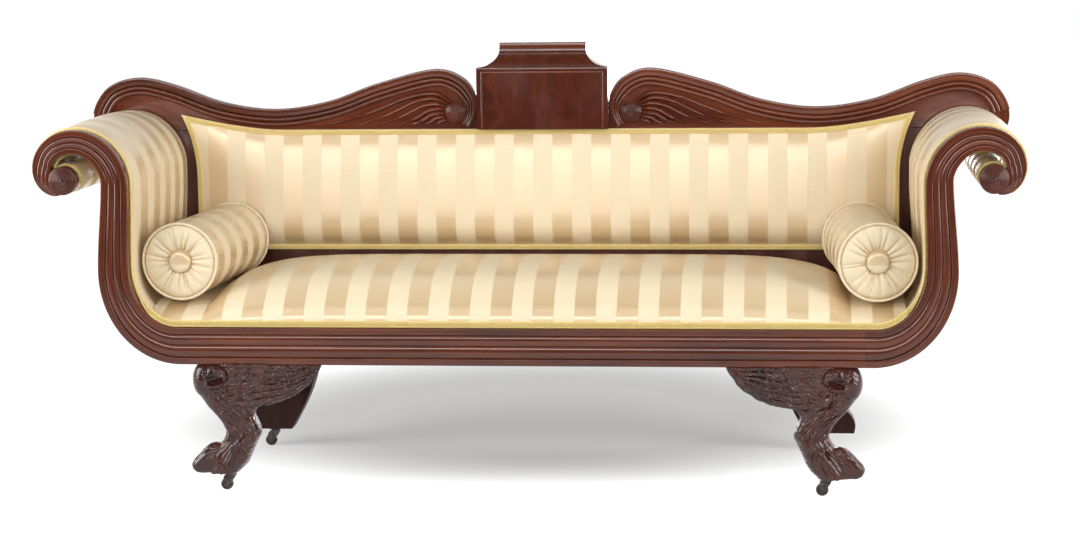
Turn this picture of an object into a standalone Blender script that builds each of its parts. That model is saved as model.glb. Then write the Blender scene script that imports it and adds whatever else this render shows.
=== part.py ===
"""Classical carved mahogany settee: reeded scroll arms, a scrolled crest with a centre tablet, winged
paw legs on casters, a tight upholstered seat and back, and two loose bolsters.

Metres, +Z up, the front faces -Y, and left and right are as seen from the front."""

import math

import bmesh
import bpy
import numpy as np
from mathutils import Matrix

# Fits and the planes from front to back
CLEAR = 0.0003  # gap kept between pieces that touch
EYE_PROUD = 0.012  # turned arm eyes, in front of the facings
CREST_SETBACK = 0.530  # front of the arm facings to front of the crest
CREST_T = 0.035  # thickness of the back frame and the crest
BACK_COVER_T = 0.004
DEPTH = EYE_PROUD + CREST_SETBACK + CREST_T + CLEAR + BACK_COVER_T
FACE_Y = EYE_PROUD - DEPTH / 2
CREST_Y = FACE_Y + CREST_SETBACK
REAR_Y = CREST_Y + CREST_T

# Seat frame
RAIL_BOTTOM = 0.297
RAIL_H = 0.084
RAIL_TOP = RAIL_BOTTOM + RAIL_H
FRONT_RAIL_T = 0.045
SEAM_X = 0.755  # half length of the front rail, where the arm facings begin
SIDE_RAIL_T = 0.040
BRACE_X = 0.250
BRACE_W = 0.050
BRACE_H = 0.040
WEB_T = 0.002
WEB_STRAP = 0.050
WEB_LAP = 0.020  # how far the webbing laps onto the rails
WEB_ROWS = 3
WEB_COLUMNS = 9

# Arm facings: a straight run from the rail, a quarter bend, a post and a closing scroll
FACING_T = 0.024
BEND_START = 0.020  # straight run before the bend
BEND_OUT = 0.146
BEND_RISE = 0.129  # rail top to the end of the bend
POST_H = 0.202
POST_W = 0.069
NECK_W = 0.059
EYE_OUT = 0.108  # post to the scroll's eye
EYE_R = 0.032
SCROLL_R = 0.146  # from the eye's centre to the sitter's edge at the neck
SCROLL_BOW = 0.004
SCROLL_TIP = 0.002
SCROLL_END = math.radians(-75)
HOOK_END = math.radians(40)
HOOK_SHARPNESS = 0.75
BEND_STEPS = 9
POST_STEPS = 5
SCROLL_STEPS = 21
GROOVE_D = 0.004
RAIL_BANDS = (0.19, 0.476, 0.81)  # shares of the width at which the three grooves run
SCROLL_BANDS = (0.25, 0.5, 0.75)
BEND_X = SEAM_X + BEND_START
BEND_TOP = RAIL_TOP + BEND_RISE
POST_X = BEND_X + BEND_OUT
EYE_X = POST_X + EYE_OUT
EYE_Z = BEND_TOP + POST_H
EYE_TURNING_STEPS = 20

# Arm upholstery, in layers from the sitter's edge to the outside edge
ARM_START = 3  # first station of the facing that carries upholstery
PAD_SHARE = 0.33
BOARD_SHARE = 0.67
PAD_CROWN = 0.016
PAD_CROWN_END = 0.005
COVER_PROUD = 0.006
COVER_END = math.radians(75)
PAD_END = math.radians(-30)
GIMP_W = 0.013
GIMP_T = 0.003

# Back frame and crest
BACK_H = 0.401  # rail top to the underside of the crest
STILE_IN = 0.075  # inner side of a stile, in from the arm's post
STILE_W = 0.085
TOP_RAIL_H = 0.060
LOWER_RAIL_RISE = 0.074
LOWER_RAIL_H = 0.060
CREST_OUT = 0.073  # the crest's outer lobe, beyond the arm's eye
CREST_RISE = 0.144  # the crest's highest point, over its foot
CREST_BAND = 0.020
CREST_REED = 0.0115
CREST_RELIEF = 0.006  # the moulding stands this far in front of the field
CREST_ARRIS = 0.0015
CREST_NOTCH = 0.062  # foot of the gap between the scroll and the tablet, over the crest's foot
CREST_EYE_IN = 0.054  # the crest's eye, from the tablet's side
CREST_EYE_RISE = 0.0385
CREST_EYE_R = 0.0275
CREST_EYE_PROUD = 0.010
CREST_EYE_GAP = 0.0008  # quirk between the moulding and the eye
CREST_STEPS = 42
FAN_REACHES = (0.3085, 0.2335, 0.1835, 0.1335, 0.1035, 0.0735, 0.0485)  # the eye to the foot of each reed
FAN_FIRST = math.radians(64)
FAN_LAST = math.radians(-34)
FAN_FOOT = 0.012  # plain strip under the fan
FAN_REED = 0.0055
CREST_Z = RAIL_TOP + BACK_H
STILE_X = POST_X - STILE_IN

# Centre tablet
TABLET_X = 0.1575
TABLET_PROUD = 0.020
TABLET_H = 0.149
COVE_H = 0.041
CORNICE_X = 0.104
CORNICE_H = 0.016
CORNICE_SETBACK = 0.008
CREST_EYE_X = TABLET_X + CREST_EYE_IN
CREST_EYE_Z = CREST_Z + CREST_EYE_RISE
SHOULDER_Z = CREST_Z + TABLET_H
CORNICE_Z = SHOULDER_Z + COVE_H

# Casters, from the floor up to the sole of the leg
WHEEL_R = 0.014
WHEEL_W = 0.014
WHEEL_GAP = 0.0006
AXLE_R = 0.0025
AXLE_HEAD_R = 0.0042
AXLE_HEAD_H = 0.0012
EAR_RIM = 0.0018  # metal round the axle's head
CHEEK_T = 0.0045
FORK_CROWN = 0.0112
FORK_SHOULDER = 0.008
CASTER_TRAIL = 0.011
PINTLE_R = 0.0045
PINTLE_BOSS_R = 0.009
PINTLE_BOSS_H = 0.002
PINTLE_SHORT = 0.002  # how far the pintle stops above the wheel's slot
CASTER_PLATE_R = 0.018
CASTER_PLATE_T = 0.003
SLOT_TOP = 2 * WHEEL_R + 2 * WHEEL_GAP
CROWN_TOP = SLOT_TOP + FORK_CROWN
PLATE_TOP = CROWN_TOP + CLEAR + PINTLE_BOSS_H + CASTER_PLATE_T
LEG_SOLE = PLATE_TOP + CLEAR

# Legs
LEG_IN = 0.081  # caster axis, in from the end of the front rail
LEG_FRONT = 0.006  # setback of the leg's front behind the facing
FRONT_CASTER_BACK = 0.050
HEAD_OUT = 0.040
HEAD_DROP = 0.027
HEAD_W = 0.060
HEAD_T = 0.032
HEAD_H = 0.048
HEAD_BACK = 0.004
BEAK_R = 0.010
TOES = 4
TOE_R = 0.0128
TOE_PITCH = 0.0205
TOE_FRONT = 0.0135  # middle of the first toe, behind the leg's front
TOE_LIFT = 0.006  # share of the leg's height that a toe's flat underside clears the sole by
WING_ROOT_IN = 0.070
WING_L = 0.151
WING_DROP = 0.093
WING_TIP_T = 0.030
WING_ROOT_T = 0.055
WING_FEATHERS = 4
FEATHER_RELIEF = 0.004
REAR_LEG_T = 0.052
LEG_X = SEAM_X - LEG_IN
LEG_TOP = RAIL_BOTTOM - CLEAR
LEG_H = LEG_TOP - LEG_SOLE
FRONT_CASTER_Y = FACE_Y + FRONT_CASTER_BACK
REAR_CASTER_Y = REAR_Y - REAR_LEG_T / 2

# Seat, back and bolsters
SEAT_OUT = 0.043  # how far the seat runs past the front rail's end
SEAT_SETBACK = 0.007
SEAT_BACK_GAP = 0.033
SEAT_CROWN = 0.124
SEAT_SHOULDER_IN = 0.056  # where the crown has fallen away, in from the seat's end
SEAT_ROUNDNESS = 7.5  # how square the crown's shoulders are
SEAT_END = 0.39  # share of the crown left at the ends
BACK_PAD_RISE = 0.109
BACK_PAD_LAP = 0.002  # how far the back pad laps onto a stile
BACK_CORNER_OUT = 0.036
BACK_CORNER_RISE = 0.038
BACK_FLARE_RUN = 0.234
BACK_FLARE_H = 0.160
BACK_EDGE_T = 0.003
BACK_CROWN = 0.034
BACK_COVER_DROP = 0.044
BACK_COVER_LAP = 0.012
BOLSTER_R = 0.088
BOLSTER_L = 0.440
BOLSTER_ARM_GAP = 0.0135
BOLSTER_BACK_GAP = 0.032
BOLSTER_YAW = math.radians(4)
BOLSTER_PLEATS = 14
BOLSTER_BUTTON_R = 0.024
SEAT_X = SEAM_X + SEAT_OUT
SEAT_SHOULDER_X = SEAT_X - SEAT_SHOULDER_IN
SEAT_DEPTH = CREST_SETBACK - SEAT_SETBACK - SEAT_BACK_GAP
SEAT_BASE = RAIL_TOP + WEB_T + 2 * CLEAR
BACK_PAD_Z = RAIL_TOP + BACK_PAD_RISE
BACK_PAD_X = STILE_X + BACK_PAD_LAP
BACK_CORNER_X = BACK_PAD_X + BACK_CORNER_OUT
BACK_CORNER_Z = CREST_Z + BACK_CORNER_RISE
BACK_FLARE_X = BACK_CORNER_X - BACK_FLARE_RUN
BACK_FLARE_Z = BACK_CORNER_Z - BACK_FLARE_H
BOLSTER_X = POST_X - POST_W / 2 - PAD_CROWN - BOLSTER_ARM_GAP - BOLSTER_R
BOLSTER_Y = CREST_Y - BOLSTER_BACK_GAP - BOLSTER_L / 2

SIDES = (("left", -1), ("right", 1))

for old in list(bpy.data.objects):
    bpy.data.objects.remove(old, do_unlink=True)

settee = bpy.data.collections.new("mahogany_settee")
cutters = bpy.data.collections.new("cutters")
for collection in (settee, cutters):
    bpy.context.scene.collection.children.link(collection)


def finish(name, colour, roughness, metallic=0.0):
    material = bpy.data.materials.new(name)
    material.use_nodes = True
    shader = material.node_tree.nodes["Principled BSDF"]
    shader.inputs["Base Color"].default_value = (*colour, 1.0)
    shader.inputs["Roughness"].default_value = roughness
    shader.inputs["Metallic"].default_value = metallic
    return material


MAHOGANY = finish("mahogany", (0.135, 0.040, 0.022), 0.35)
DARK_MAHOGANY = finish("dark_mahogany", (0.070, 0.026, 0.020), 0.40)
BEECH = finish("beech", (0.45, 0.28, 0.15), 0.60)
SATIN = finish("striped_satin", (0.80, 0.66, 0.45), 0.50)
GIMP = finish("gold_gimp", (0.70, 0.50, 0.18), 0.60)
JUTE = finish("jute_webbing", (0.38, 0.26, 0.14), 0.90)
BRASS = finish("aged_brass", (0.16, 0.12, 0.08), 0.45, 0.9)


def publish(name, mesh, material, group=settee, sharp=math.radians(35)):
    """Links a mesh as one named piece, shaded smooth except over its sharp edges."""
    mesh.materials.clear()
    mesh.materials.append(material)
    mesh.shade_smooth()
    mesh.set_sharp_from_angle(angle=sharp)
    piece = bpy.data.objects.new(name, mesh)
    group.objects.link(piece)
    return piece


def loft(name, rings):
    """A closed mesh through rings of points, each ring a closed loop, with both ends capped."""
    shape = bmesh.new()
    loops = [[shape.verts.new(point) for point in ring] for ring in rings]
    for near, far in zip(loops, loops[1:]):
        for i in range(len(near)):
            j = (i + 1) % len(near)
            shape.faces.new((near[i], near[j], far[j], far[i]))
    shape.faces.new(loops[0])
    shape.faces.new(loops[-1])
    bmesh.ops.recalc_face_normals(shape, faces=shape.faces)
    mesh = bpy.data.meshes.new(name)
    shape.to_mesh(mesh)
    shape.free()
    return mesh


def box(name, low, high):
    shape = bmesh.new()
    bmesh.ops.create_cube(shape, size=1.0)
    size = np.subtract(high, low)
    bmesh.ops.scale(shape, vec=size, verts=shape.verts)
    bmesh.ops.translate(shape, vec=np.add(low, high) / 2, verts=shape.verts)
    mesh = bpy.data.meshes.new(name)
    shape.to_mesh(mesh)
    shape.free()
    return mesh


def evaluated(piece):
    """The piece's mesh with its modifiers applied and its caps welded, in place of the piece."""
    bpy.context.view_layer.update()
    graph = bpy.context.evaluated_depsgraph_get()
    mesh = bpy.data.meshes.new_from_object(piece.evaluated_get(graph))
    mesh.transform(piece.matrix_world)
    shape = bmesh.new()
    shape.from_mesh(mesh)
    bmesh.ops.remove_doubles(shape, verts=shape.verts, dist=1e-6)
    bmesh.ops.recalc_face_normals(shape, faces=shape.faces)
    shape.to_mesh(mesh)
    shape.free()
    bpy.data.objects.remove(piece, do_unlink=True)
    return mesh


def plate(name, outlines, thickness):
    """A flat board in the XY plane, centred on Z = 0: the first outline is its edge, the rest its holes."""
    curve = bpy.data.curves.new(name, "CURVE")
    curve.dimensions = "2D"
    curve.fill_mode = "BOTH"
    curve.extrude = thickness / 2
    for outline in outlines:
        spline = curve.splines.new("POLY")
        spline.points.add(len(outline) - 1)
        for point, (x, y) in zip(spline.points, outline):
            point.co = (x, y, 0.0, 1.0)
        spline.use_cyclic_u = True
    board = bpy.data.objects.new(name, curve)
    cutters.objects.link(board)
    return evaluated(board)


def upright_plate(name, outlines, front, back):
    """A board cut to outlines in X and Z, between two planes of Y."""
    mesh = plate(name, outlines, back - front)
    mesh.transform(Matrix.Translation((0, (front + back) / 2, 0)) @ Matrix.Rotation(math.pi / 2, 4, "X"))
    return mesh


def turned(name, profile, steps, axis):
    """A shape turned on an axis: the profile is (radius, height along the axis) from top to bottom."""
    mesh = bpy.data.meshes.new(name)
    points = [(radius, 0.0, height) for radius, height in profile]
    mesh.from_pydata(points, [(i, i + 1) for i in range(len(points) - 1)], [])
    piece = bpy.data.objects.new(name, mesh)
    cutters.objects.link(piece)
    screw = piece.modifiers.new("turning", "SCREW")
    screw.steps = screw.render_steps = steps
    screw.use_merge_vertices = True
    screw.merge_threshold = 1e-5
    solid = evaluated(piece)
    solid.transform(axis)
    return solid


def joined(name, base, others, operation="UNION", solver="EXACT"):
    """The base mesh with the other meshes added to it, or cut out of it."""
    piece = publish(name, base, BEECH, cutters)
    tools = []
    for mesh in others:
        tool = publish(name + "_tool", mesh, BEECH, cutters)
        tool.hide_render = True
        tool.display_type = "WIRE"
        tools.append(tool)
        boolean = piece.modifiers.new(operation.lower(), "BOOLEAN")
        boolean.operation = operation
        boolean.solver = solver
        boolean.object = tool
    mesh = evaluated(piece)
    for tool in tools:
        bpy.data.objects.remove(tool, do_unlink=True)
    return mesh


def smooth_line(stations, count):
    """Points evenly spaced in parameter on a smooth curve through the stations."""
    stations = np.array(stations, dtype=float)
    padded = np.vstack([2 * stations[0] - stations[1], stations, 2 * stations[-1] - stations[-2]])
    places = np.linspace(0, len(stations) - 1, count)
    first = np.minimum(places.astype(int), len(stations) - 2)
    t = (places - first)[:, None]
    a, b, c, d = (padded[first + k] for k in range(4))
    return 0.5 * (2 * b + (c - a) * t + (2 * a - 5 * b + 4 * c - d) * t**2 + (3 * b - a - 3 * c + d) * t**3)


def side_normals(line):
    """Unit vectors to the left of a line's direction of travel."""
    step = np.gradient(line, axis=0)
    step /= np.linalg.norm(step, axis=1)[:, None]
    return np.stack([-step[:, 1], step[:, 0]], axis=1)


def reeds(bands, depth):
    """(share of the width, depth under the face) over a plain band, two half-round reeds and a plain band."""
    first, middle, last = bands
    points = [(0.0, 0.0), (0.9 * first, 0.0)]
    for start, end in ((first, middle), (middle, last)):
        for s in (0.0, 0.14, 0.5, 0.86):
            points.append((start + (end - start) * s, depth * (1 - math.sqrt(1 - (2 * s - 1) ** 2))))
    return points + [(last, depth), (1 - 0.9 * (1 - last), 0.0), (1.0, 0.0)]


def arm_edges():
    """Matching (x, z) points on an arm's sitter's edge and outside edge, from the rail to the eye."""
    rail_mid = (RAIL_TOP + RAIL_BOTTOM) / 2
    neck_x = EYE_X - SCROLL_R + NECK_W / 2
    centre = [(SEAM_X + CLEAR, rail_mid)]
    width = [RAIL_H]
    for angle in np.linspace(0, math.pi / 2, BEND_STEPS):
        x = BEND_X + (POST_X - BEND_X) * math.sin(angle)
        centre.append((x, BEND_TOP - (BEND_TOP - rail_mid) * math.cos(angle)))
        width.append(RAIL_H + (POST_W - RAIL_H) * angle / (math.pi / 2))
    for t in np.linspace(0, 1, POST_STEPS)[1:-1]:
        lean = t * t * (3 - 2 * t)
        centre.append((POST_X + (neck_x - POST_X) * lean, BEND_TOP + (EYE_Z - BEND_TOP) * t))
        width.append(POST_W + (NECK_W - POST_W) * t)
    centre = np.array(centre)
    normal = side_normals(centre)
    normal[0] = (0, 1)
    half = np.array(width)[:, None] / 2
    sitter = list(centre + normal * half)
    outside = list(centre - normal * half)
    seat = EYE_R + CLEAR
    for angle in np.linspace(math.pi, SCROLL_END, SCROLL_STEPS):
        s = (math.pi - angle) / (math.pi - SCROLL_END)
        outer = SCROLL_R + (seat + SCROLL_TIP - SCROLL_R) * s + SCROLL_BOW * math.sin(2 * math.pi * s)
        left = max(0.0, (angle - HOOK_END) / (math.pi - HOOK_END))
        inner = seat + (SCROLL_R - NECK_W - seat) * left**HOOK_SHARPNESS
        direction = np.array((math.cos(angle), math.sin(angle)))
        sitter.append((EYE_X, EYE_Z) + outer * direction)
        outside.append((EYE_X, EYE_Z) + inner * direction)
    return np.array(sitter), np.array(outside)


SITTER, OUTSIDE = arm_edges()
ARM_ANGLES = np.linspace(math.pi, SCROLL_END, SCROLL_STEPS)
SCROLL_FIRST = len(SITTER) - SCROLL_STEPS
PAD_LAST = SCROLL_FIRST + int(np.argmax(ARM_ANGLES < PAD_END))
COVER_LAST = SCROLL_FIRST + int(np.argmax(ARM_ANGLES < COVER_END))
ARM_FRONT = FACE_Y + FACING_T + CLEAR
ARM_BACK = CREST_Y - CLEAR


def front_rail():
    ends = []
    for x in (-SEAM_X, SEAM_X):
        ring = []
        for share, depth in reeds(RAIL_BANDS, GROOVE_D):
            ring.append((x, FACE_Y + depth, RAIL_TOP + (RAIL_BOTTOM - RAIL_TOP) * share))
        ring.append((x, FACE_Y + FRONT_RAIL_T, RAIL_BOTTOM))
        ring.append((x, FACE_Y + FRONT_RAIL_T, RAIL_TOP))
        ends.append(ring)
    publish("front_seat_rail", loft("front_seat_rail", ends), MAHOGANY)


def seat_frame():
    """Plain rails, cross braces and webbing that the show wood hides."""
    rear_low = (-STILE_X - STILE_W, CREST_Y, RAIL_BOTTOM)
    rear_high = (STILE_X + STILE_W, REAR_Y, RAIL_TOP)
    publish("rear_seat_rail", box("rear_seat_rail", rear_low, rear_high), DARK_MAHOGANY)
    back = CREST_Y - CLEAR
    for side, sign in SIDES:
        inner = SEAM_X + CLEAR
        low_x, high_x = sorted((sign * inner, sign * (inner + SIDE_RAIL_T)))
        name = f"{side}_side_rail"
        publish(name, box(name, (low_x, ARM_FRONT, RAIL_BOTTOM), (high_x, back, RAIL_TOP)), BEECH)
        name = f"{side}_seat_brace"
        low = (sign * BRACE_X - BRACE_W / 2, FACE_Y + FRONT_RAIL_T + CLEAR, RAIL_TOP - BRACE_H)
        publish(name, box(name, low, (sign * BRACE_X + BRACE_W / 2, back, RAIL_TOP)), BEECH)
    publish("seat_webbing", webbing(), JUTE)


def webbing():
    """One sheet of woven straps: a rectangle with a grid of openings between the straps."""
    low_x, high_x = -SEAM_X, SEAM_X
    low_y = FACE_Y + FRONT_RAIL_T - WEB_LAP
    high_y = CREST_Y + WEB_LAP
    outlines = [[(low_x, low_y), (high_x, low_y), (high_x, high_y), (low_x, high_y)]]
    step_x = (high_x - low_x - WEB_STRAP) / WEB_COLUMNS
    step_y = (high_y - low_y - WEB_STRAP) / WEB_ROWS
    for column in range(WEB_COLUMNS):
        for row in range(WEB_ROWS):
            x0 = low_x + WEB_STRAP + column * step_x
            y0 = low_y + WEB_STRAP + row * step_y
            x1 = x0 + step_x - WEB_STRAP
            y1 = y0 + step_y - WEB_STRAP
            outlines.append([(x0, y0), (x1, y0), (x1, y1), (x0, y1)])
    mesh = plate("seat_webbing", outlines, WEB_T)
    mesh.transform(Matrix.Translation((0, 0, RAIL_TOP + CLEAR + WEB_T / 2)))
    return mesh


def arm_facing(side, sign):
    """The reeded front of an arm, which narrows up the post and closes in a scroll on the eye."""
    rings = []
    for i, (near, far) in enumerate(zip(SITTER, OUTSIDE)):
        blend = i / (len(SITTER) - 1)
        bands = [a + (b - a) * blend for a, b in zip(RAIL_BANDS, SCROLL_BANDS)]
        across = far - near
        depth = min(GROOVE_D, np.linalg.norm(across) * GROOVE_D / NECK_W)
        ring = []
        for share, below in reeds(bands, depth):
            x, z = near + across * share
            ring.append((sign * x, FACE_Y + below, z))
        for x, z in (far, near):
            ring.append((sign * x, FACE_Y + FACING_T, z))
        rings.append(ring)
    name = f"{side}_arm_facing"
    publish(name, loft(name, rings), MAHOGANY)


def eye_profile(radius, proud, depth):
    """A turned boss: a small tip, a coned face with two rings and a straight side."""
    return [
        (0.0, proud),
        (0.16 * radius, 0.93 * proud),
        (0.44 * radius, 0.66 * proud),
        (0.50 * radius, 0.52 * proud),
        (0.76 * radius, 0.42 * proud),
        (0.80 * radius, 0.24 * proud),
        (0.97 * radius, 0.14 * proud),
        (radius, 0.0),
        (radius, -depth),
        (0.0, -depth),
    ]


def facing_forward(x, y, z):
    """Places a turned piece whose axis points to the front."""
    return Matrix.Translation((x, y, z)) @ Matrix.Rotation(math.pi / 2, 4, "X")


def arm_eye_and_rail(side, sign):
    name = f"{side}_arm_eye"
    profile = eye_profile(EYE_R, EYE_PROUD, FACING_T)
    eye = turned(name, profile, EYE_TURNING_STEPS, facing_forward(sign * EYE_X, FACE_Y, EYE_Z))
    publish(name, eye, MAHOGANY)
    name = f"{side}_arm_rail"
    length = ARM_BACK - ARM_FRONT
    profile = [(0.0, 0.0), (EYE_R, 0.0), (EYE_R, -length), (0.0, -length)]
    rail = turned(name, profile, EYE_TURNING_STEPS, facing_forward(sign * EYE_X, ARM_FRONT, EYE_Z))
    publish(name, rail, BEECH)


def arm_layer(name, sign, first, last, section):
    """A layer of the arm: section gives (offset past the sitter's edge, y) round each station."""
    rings = []
    for i in range(first, last + 1):
        width = np.linalg.norm(SITTER[i] - OUTSIDE[i])
        towards = (SITTER[i] - OUTSIDE[i]) / width
        ring = []
        for offset, y in section(i, width):
            x, z = SITTER[i] + towards * offset
            ring.append((sign * x, y, z))
        rings.append(ring)
    return loft(name, rings)


def pad_section(i, width):
    """The stuffed layer: flat on its board, tucked in under the gimp, and crowned between front and back."""
    rise = min(1.0, (i - ARM_START) / (SCROLL_FIRST - ARM_START))
    fall = max(0.0, (i - SCROLL_FIRST) / (PAD_LAST - SCROLL_FIRST))
    crown = PAD_CROWN * rise * (1 - fall) + PAD_CROWN_END * fall
    start = ARM_FRONT + GIMP_W
    points = [(0.0, ARM_FRONT)]
    for t in (0.0, 0.08, 0.25, 0.5, 0.75, 0.92, 1.0):
        points.append((crown * (1 - (2 * t - 1) ** 4), start + (ARM_BACK - start) * t))
    return points + [(-width * PAD_SHARE, ARM_BACK), (-width * PAD_SHARE, ARM_FRONT)]


def board_section(_, width):
    near = -width * PAD_SHARE - CLEAR
    far = -width * BOARD_SHARE
    return [(near, ARM_FRONT), (near, ARM_BACK), (far, ARM_BACK), (far, ARM_FRONT)]


def cover_section(_, width):
    near = -width * BOARD_SHARE - CLEAR
    far = -width
    swell = -width - COVER_PROUD
    middle = (ARM_FRONT + ARM_BACK) / 2
    return [(near, ARM_FRONT), (near, ARM_BACK), (far, ARM_BACK), (swell, middle), (far, ARM_FRONT)]


def gimp_section(_, __):
    back = ARM_FRONT + GIMP_W
    return [(CLEAR, ARM_FRONT), (GIMP_T, ARM_FRONT), (GIMP_T, back), (CLEAR, back)]


def arm_upholstery(side, sign):
    layers = (
        ("arm_pad", PAD_LAST, pad_section, SATIN),
        ("arm_board", PAD_LAST, board_section, BEECH),
        ("outside_arm", COVER_LAST, cover_section, SATIN),
        ("arm_gimp", PAD_LAST, gimp_section, GIMP),
    )
    for layer, last, section, material in layers:
        name = f"{side}_{layer}"
        publish(name, arm_layer(name, sign, ARM_START, last, section), material)


def crest_edge():
    """The crest's upper edge as seen from the front, from the scroll beside the tablet to the outer lobe."""
    inner = TABLET_X + CLEAR
    span = EYE_X + CREST_OUT - inner
    scroll = [(0.153, 0.0), (0.028, 0.264), (0.028, 0.556), (0.25, 0.861), (0.736, 1.0)]
    sweep = [(0.257, 0.771), (0.384, 0.479), (0.521, 0.347), (0.659, 0.465), (0.786, 0.764), (0.879, 0.889)]
    lobe = [(0.292, 0.75), (0.014, 0.389), (0.0, 0.028), (0.25, -0.236)]
    stations = [(inner + CREST_RISE * x, rise) for x, rise in scroll]
    stations += [(inner + span * x, rise) for x, rise in sweep]
    stations += [(inner + span - CREST_RISE * x, rise) for x, rise in lobe]
    return smooth_line([(x, CREST_Z + CREST_RISE * rise) for x, rise in stations], CREST_STEPS)


def crest_board(name, sign, edge):
    """The flat board of the crest, set in from the moulding's edge and square beside the tablet."""
    notch = CREST_Z + CREST_NOTCH
    above = int(np.argmax(edge[:, 1] > notch))
    inset = (edge - side_normals(edge) * CREST_ARRIS)[above:]
    inner = TABLET_X + CLEAR
    outer = STILE_X + STILE_W
    foot = [((outer + EYE_X) / 2, edge[-1][1]), (outer, CREST_Z), (inner, CREST_Z), (inner, notch)]
    outline = [(sign * x, z) for x, z in list(inset) + foot]
    return upright_plate(name, [outline], CREST_Y + CREST_RELIEF, REAR_Y)


def crest_moulding(name, sign, edge):
    """A plain band and two reeds that follow the edge, narrow at the eye and end behind the arm."""
    inward = -side_normals(edge)
    full = CREST_BAND + 2 * CREST_REED
    bands = (CREST_BAND / full, (CREST_BAND + CREST_REED) / full, 1.0)
    profile = reeds(bands, CREST_RELIEF)[:-2]
    last = int(np.argmin(np.abs(edge[:, 1] - CREST_Z - full) + (edge[:, 0] < EYE_X)))
    rings = []
    for point, direction in zip(edge[1 : last + 1], inward[1 : last + 1]):
        room = math.dist(point, (CREST_EYE_X, CREST_EYE_Z)) - CREST_EYE_R - CREST_EYE_GAP
        width = min(full, room)
        depth_share = width / full
        ring = []
        for share, below in profile:
            x, z = point + direction * width * share
            ring.append((sign * x, CREST_Y + below * depth_share, z))
        buried = CREST_Y + CREST_RELIEF + CREST_T / 3
        for share in (1.0, 0.0):
            x, z = point + direction * width * share
            ring.append((sign * x, buried, z))
        rings.append(ring)
    return loft(name, rings)


def fan_reed(name, sign, reach, start_angle):
    """A tapered half-round reed that springs from the eye, arches over and runs out on the plain strip."""
    eye = np.array((CREST_EYE_X, CREST_EYE_Z))
    start = eye + (CREST_EYE_R + FAN_REED) * np.array((math.cos(start_angle), math.sin(start_angle)))
    end = np.array((CREST_EYE_X + reach, CREST_Z + FAN_FOOT))
    arch = start + (end[0] - start[0]) * np.array((0.135, 0.055))
    line = smooth_line([start, arch, (arch + end) / 2, end], 6)
    normal = side_normals(line)
    front = CREST_Y + CREST_RELIEF
    rings = []
    for i, (point, direction) in enumerate(zip(line, normal)):
        half = FAN_REED * (0.45 + 0.5 * math.sin(math.pi * (i + 0.6) / (len(line) + 0.4)))
        ring = []
        for offset, rise in ((-1.0, -0.2), (-0.5, 0.8), (0.5, 0.8), (1.0, -0.2), (1.0, -0.8), (-1.0, -0.8)):
            x, z = point + direction * half * offset
            ring.append((sign * x, front - half * rise, z))
        rings.append(ring)
    return loft(name, rings)


def crest_rail(side, sign):
    edge = crest_edge()
    name = f"{side}_crest_rail"
    additions = [crest_moulding(name + "_moulding", sign, edge)]
    angles = np.linspace(FAN_FIRST, FAN_LAST, len(FAN_REACHES))
    for number, (reach, angle) in enumerate(zip(FAN_REACHES, angles)):
        additions.append(fan_reed(f"{name}_fan_{number}", sign, reach, angle))
    rail = joined(name, crest_board(name, sign, edge), additions, solver="MANIFOLD")
    publish(name, rail, MAHOGANY)
    name = f"{side}_crest_eye"
    field = CREST_Y + CREST_RELIEF - CLEAR
    profile = eye_profile(CREST_EYE_R, CREST_EYE_PROUD + CREST_RELIEF - CLEAR, 0.0)[:-2] + [(0.0, 0.0)]
    eye = turned(name, profile, EYE_TURNING_STEPS, facing_forward(sign * CREST_EYE_X, field, CREST_EYE_Z))
    publish(name, eye, MAHOGANY)


def tablet():
    """The centre block: a plain panel with coved shoulders, under a separate flat cornice."""
    sections = [(CREST_Z, TABLET_X, -TABLET_PROUD)]
    for angle in np.linspace(0, math.pi / 2, 6):
        x = TABLET_X - (TABLET_X - CORNICE_X) * math.sin(angle)
        z = CORNICE_Z - (CORNICE_Z - SHOULDER_Z) * math.cos(angle)
        y = -TABLET_PROUD + (TABLET_PROUD + CORNICE_SETBACK) * math.sin(angle)
        sections.append((z, x, y))
    rings = []
    for z, x, y in sections:
        rings.append([(-x, CREST_Y + y, z), (x, CREST_Y + y, z), (x, REAR_Y, z), (-x, REAR_Y, z)])
    publish("crest_tablet", loft("crest_tablet", rings), MAHOGANY)
    low = (-CORNICE_X, CREST_Y + CORNICE_SETBACK, CORNICE_Z + CLEAR)
    high = (CORNICE_X, REAR_Y, CORNICE_Z + CORNICE_H)
    publish("tablet_cornice", box("tablet_cornice", low, high), MAHOGANY)


def back_frame():
    under_crest = CREST_Z - CLEAR
    for side, sign in SIDES:
        low_x, high_x = sorted((sign * STILE_X, sign * (STILE_X + STILE_W)))
        name = f"{side}_back_stile"
        stile = box(name, (low_x, CREST_Y, RAIL_TOP + CLEAR), (high_x, REAR_Y, under_crest))
        publish(name, stile, MAHOGANY)
    inner = STILE_X - CLEAR
    for name, low, high in (
        ("top_back_rail", CREST_Z - TOP_RAIL_H, under_crest),
        ("lower_back_rail", RAIL_TOP + LOWER_RAIL_RISE, RAIL_TOP + LOWER_RAIL_RISE + LOWER_RAIL_H),
    ):
        publish(name, box(name, (-inner, CREST_Y, low), (inner, REAR_Y, high)), BEECH)
    edge = STILE_X + STILE_W
    foot = RAIL_TOP - BACK_COVER_DROP
    head = CREST_Z + BACK_COVER_LAP
    outline = [(-edge, foot), (edge, foot), (edge, head), (-edge, head)]
    cover = upright_plate("outside_back", [outline], REAR_Y + CLEAR, REAR_Y + CLEAR + BACK_COVER_T)
    publish("outside_back", cover, SATIN)


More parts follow.
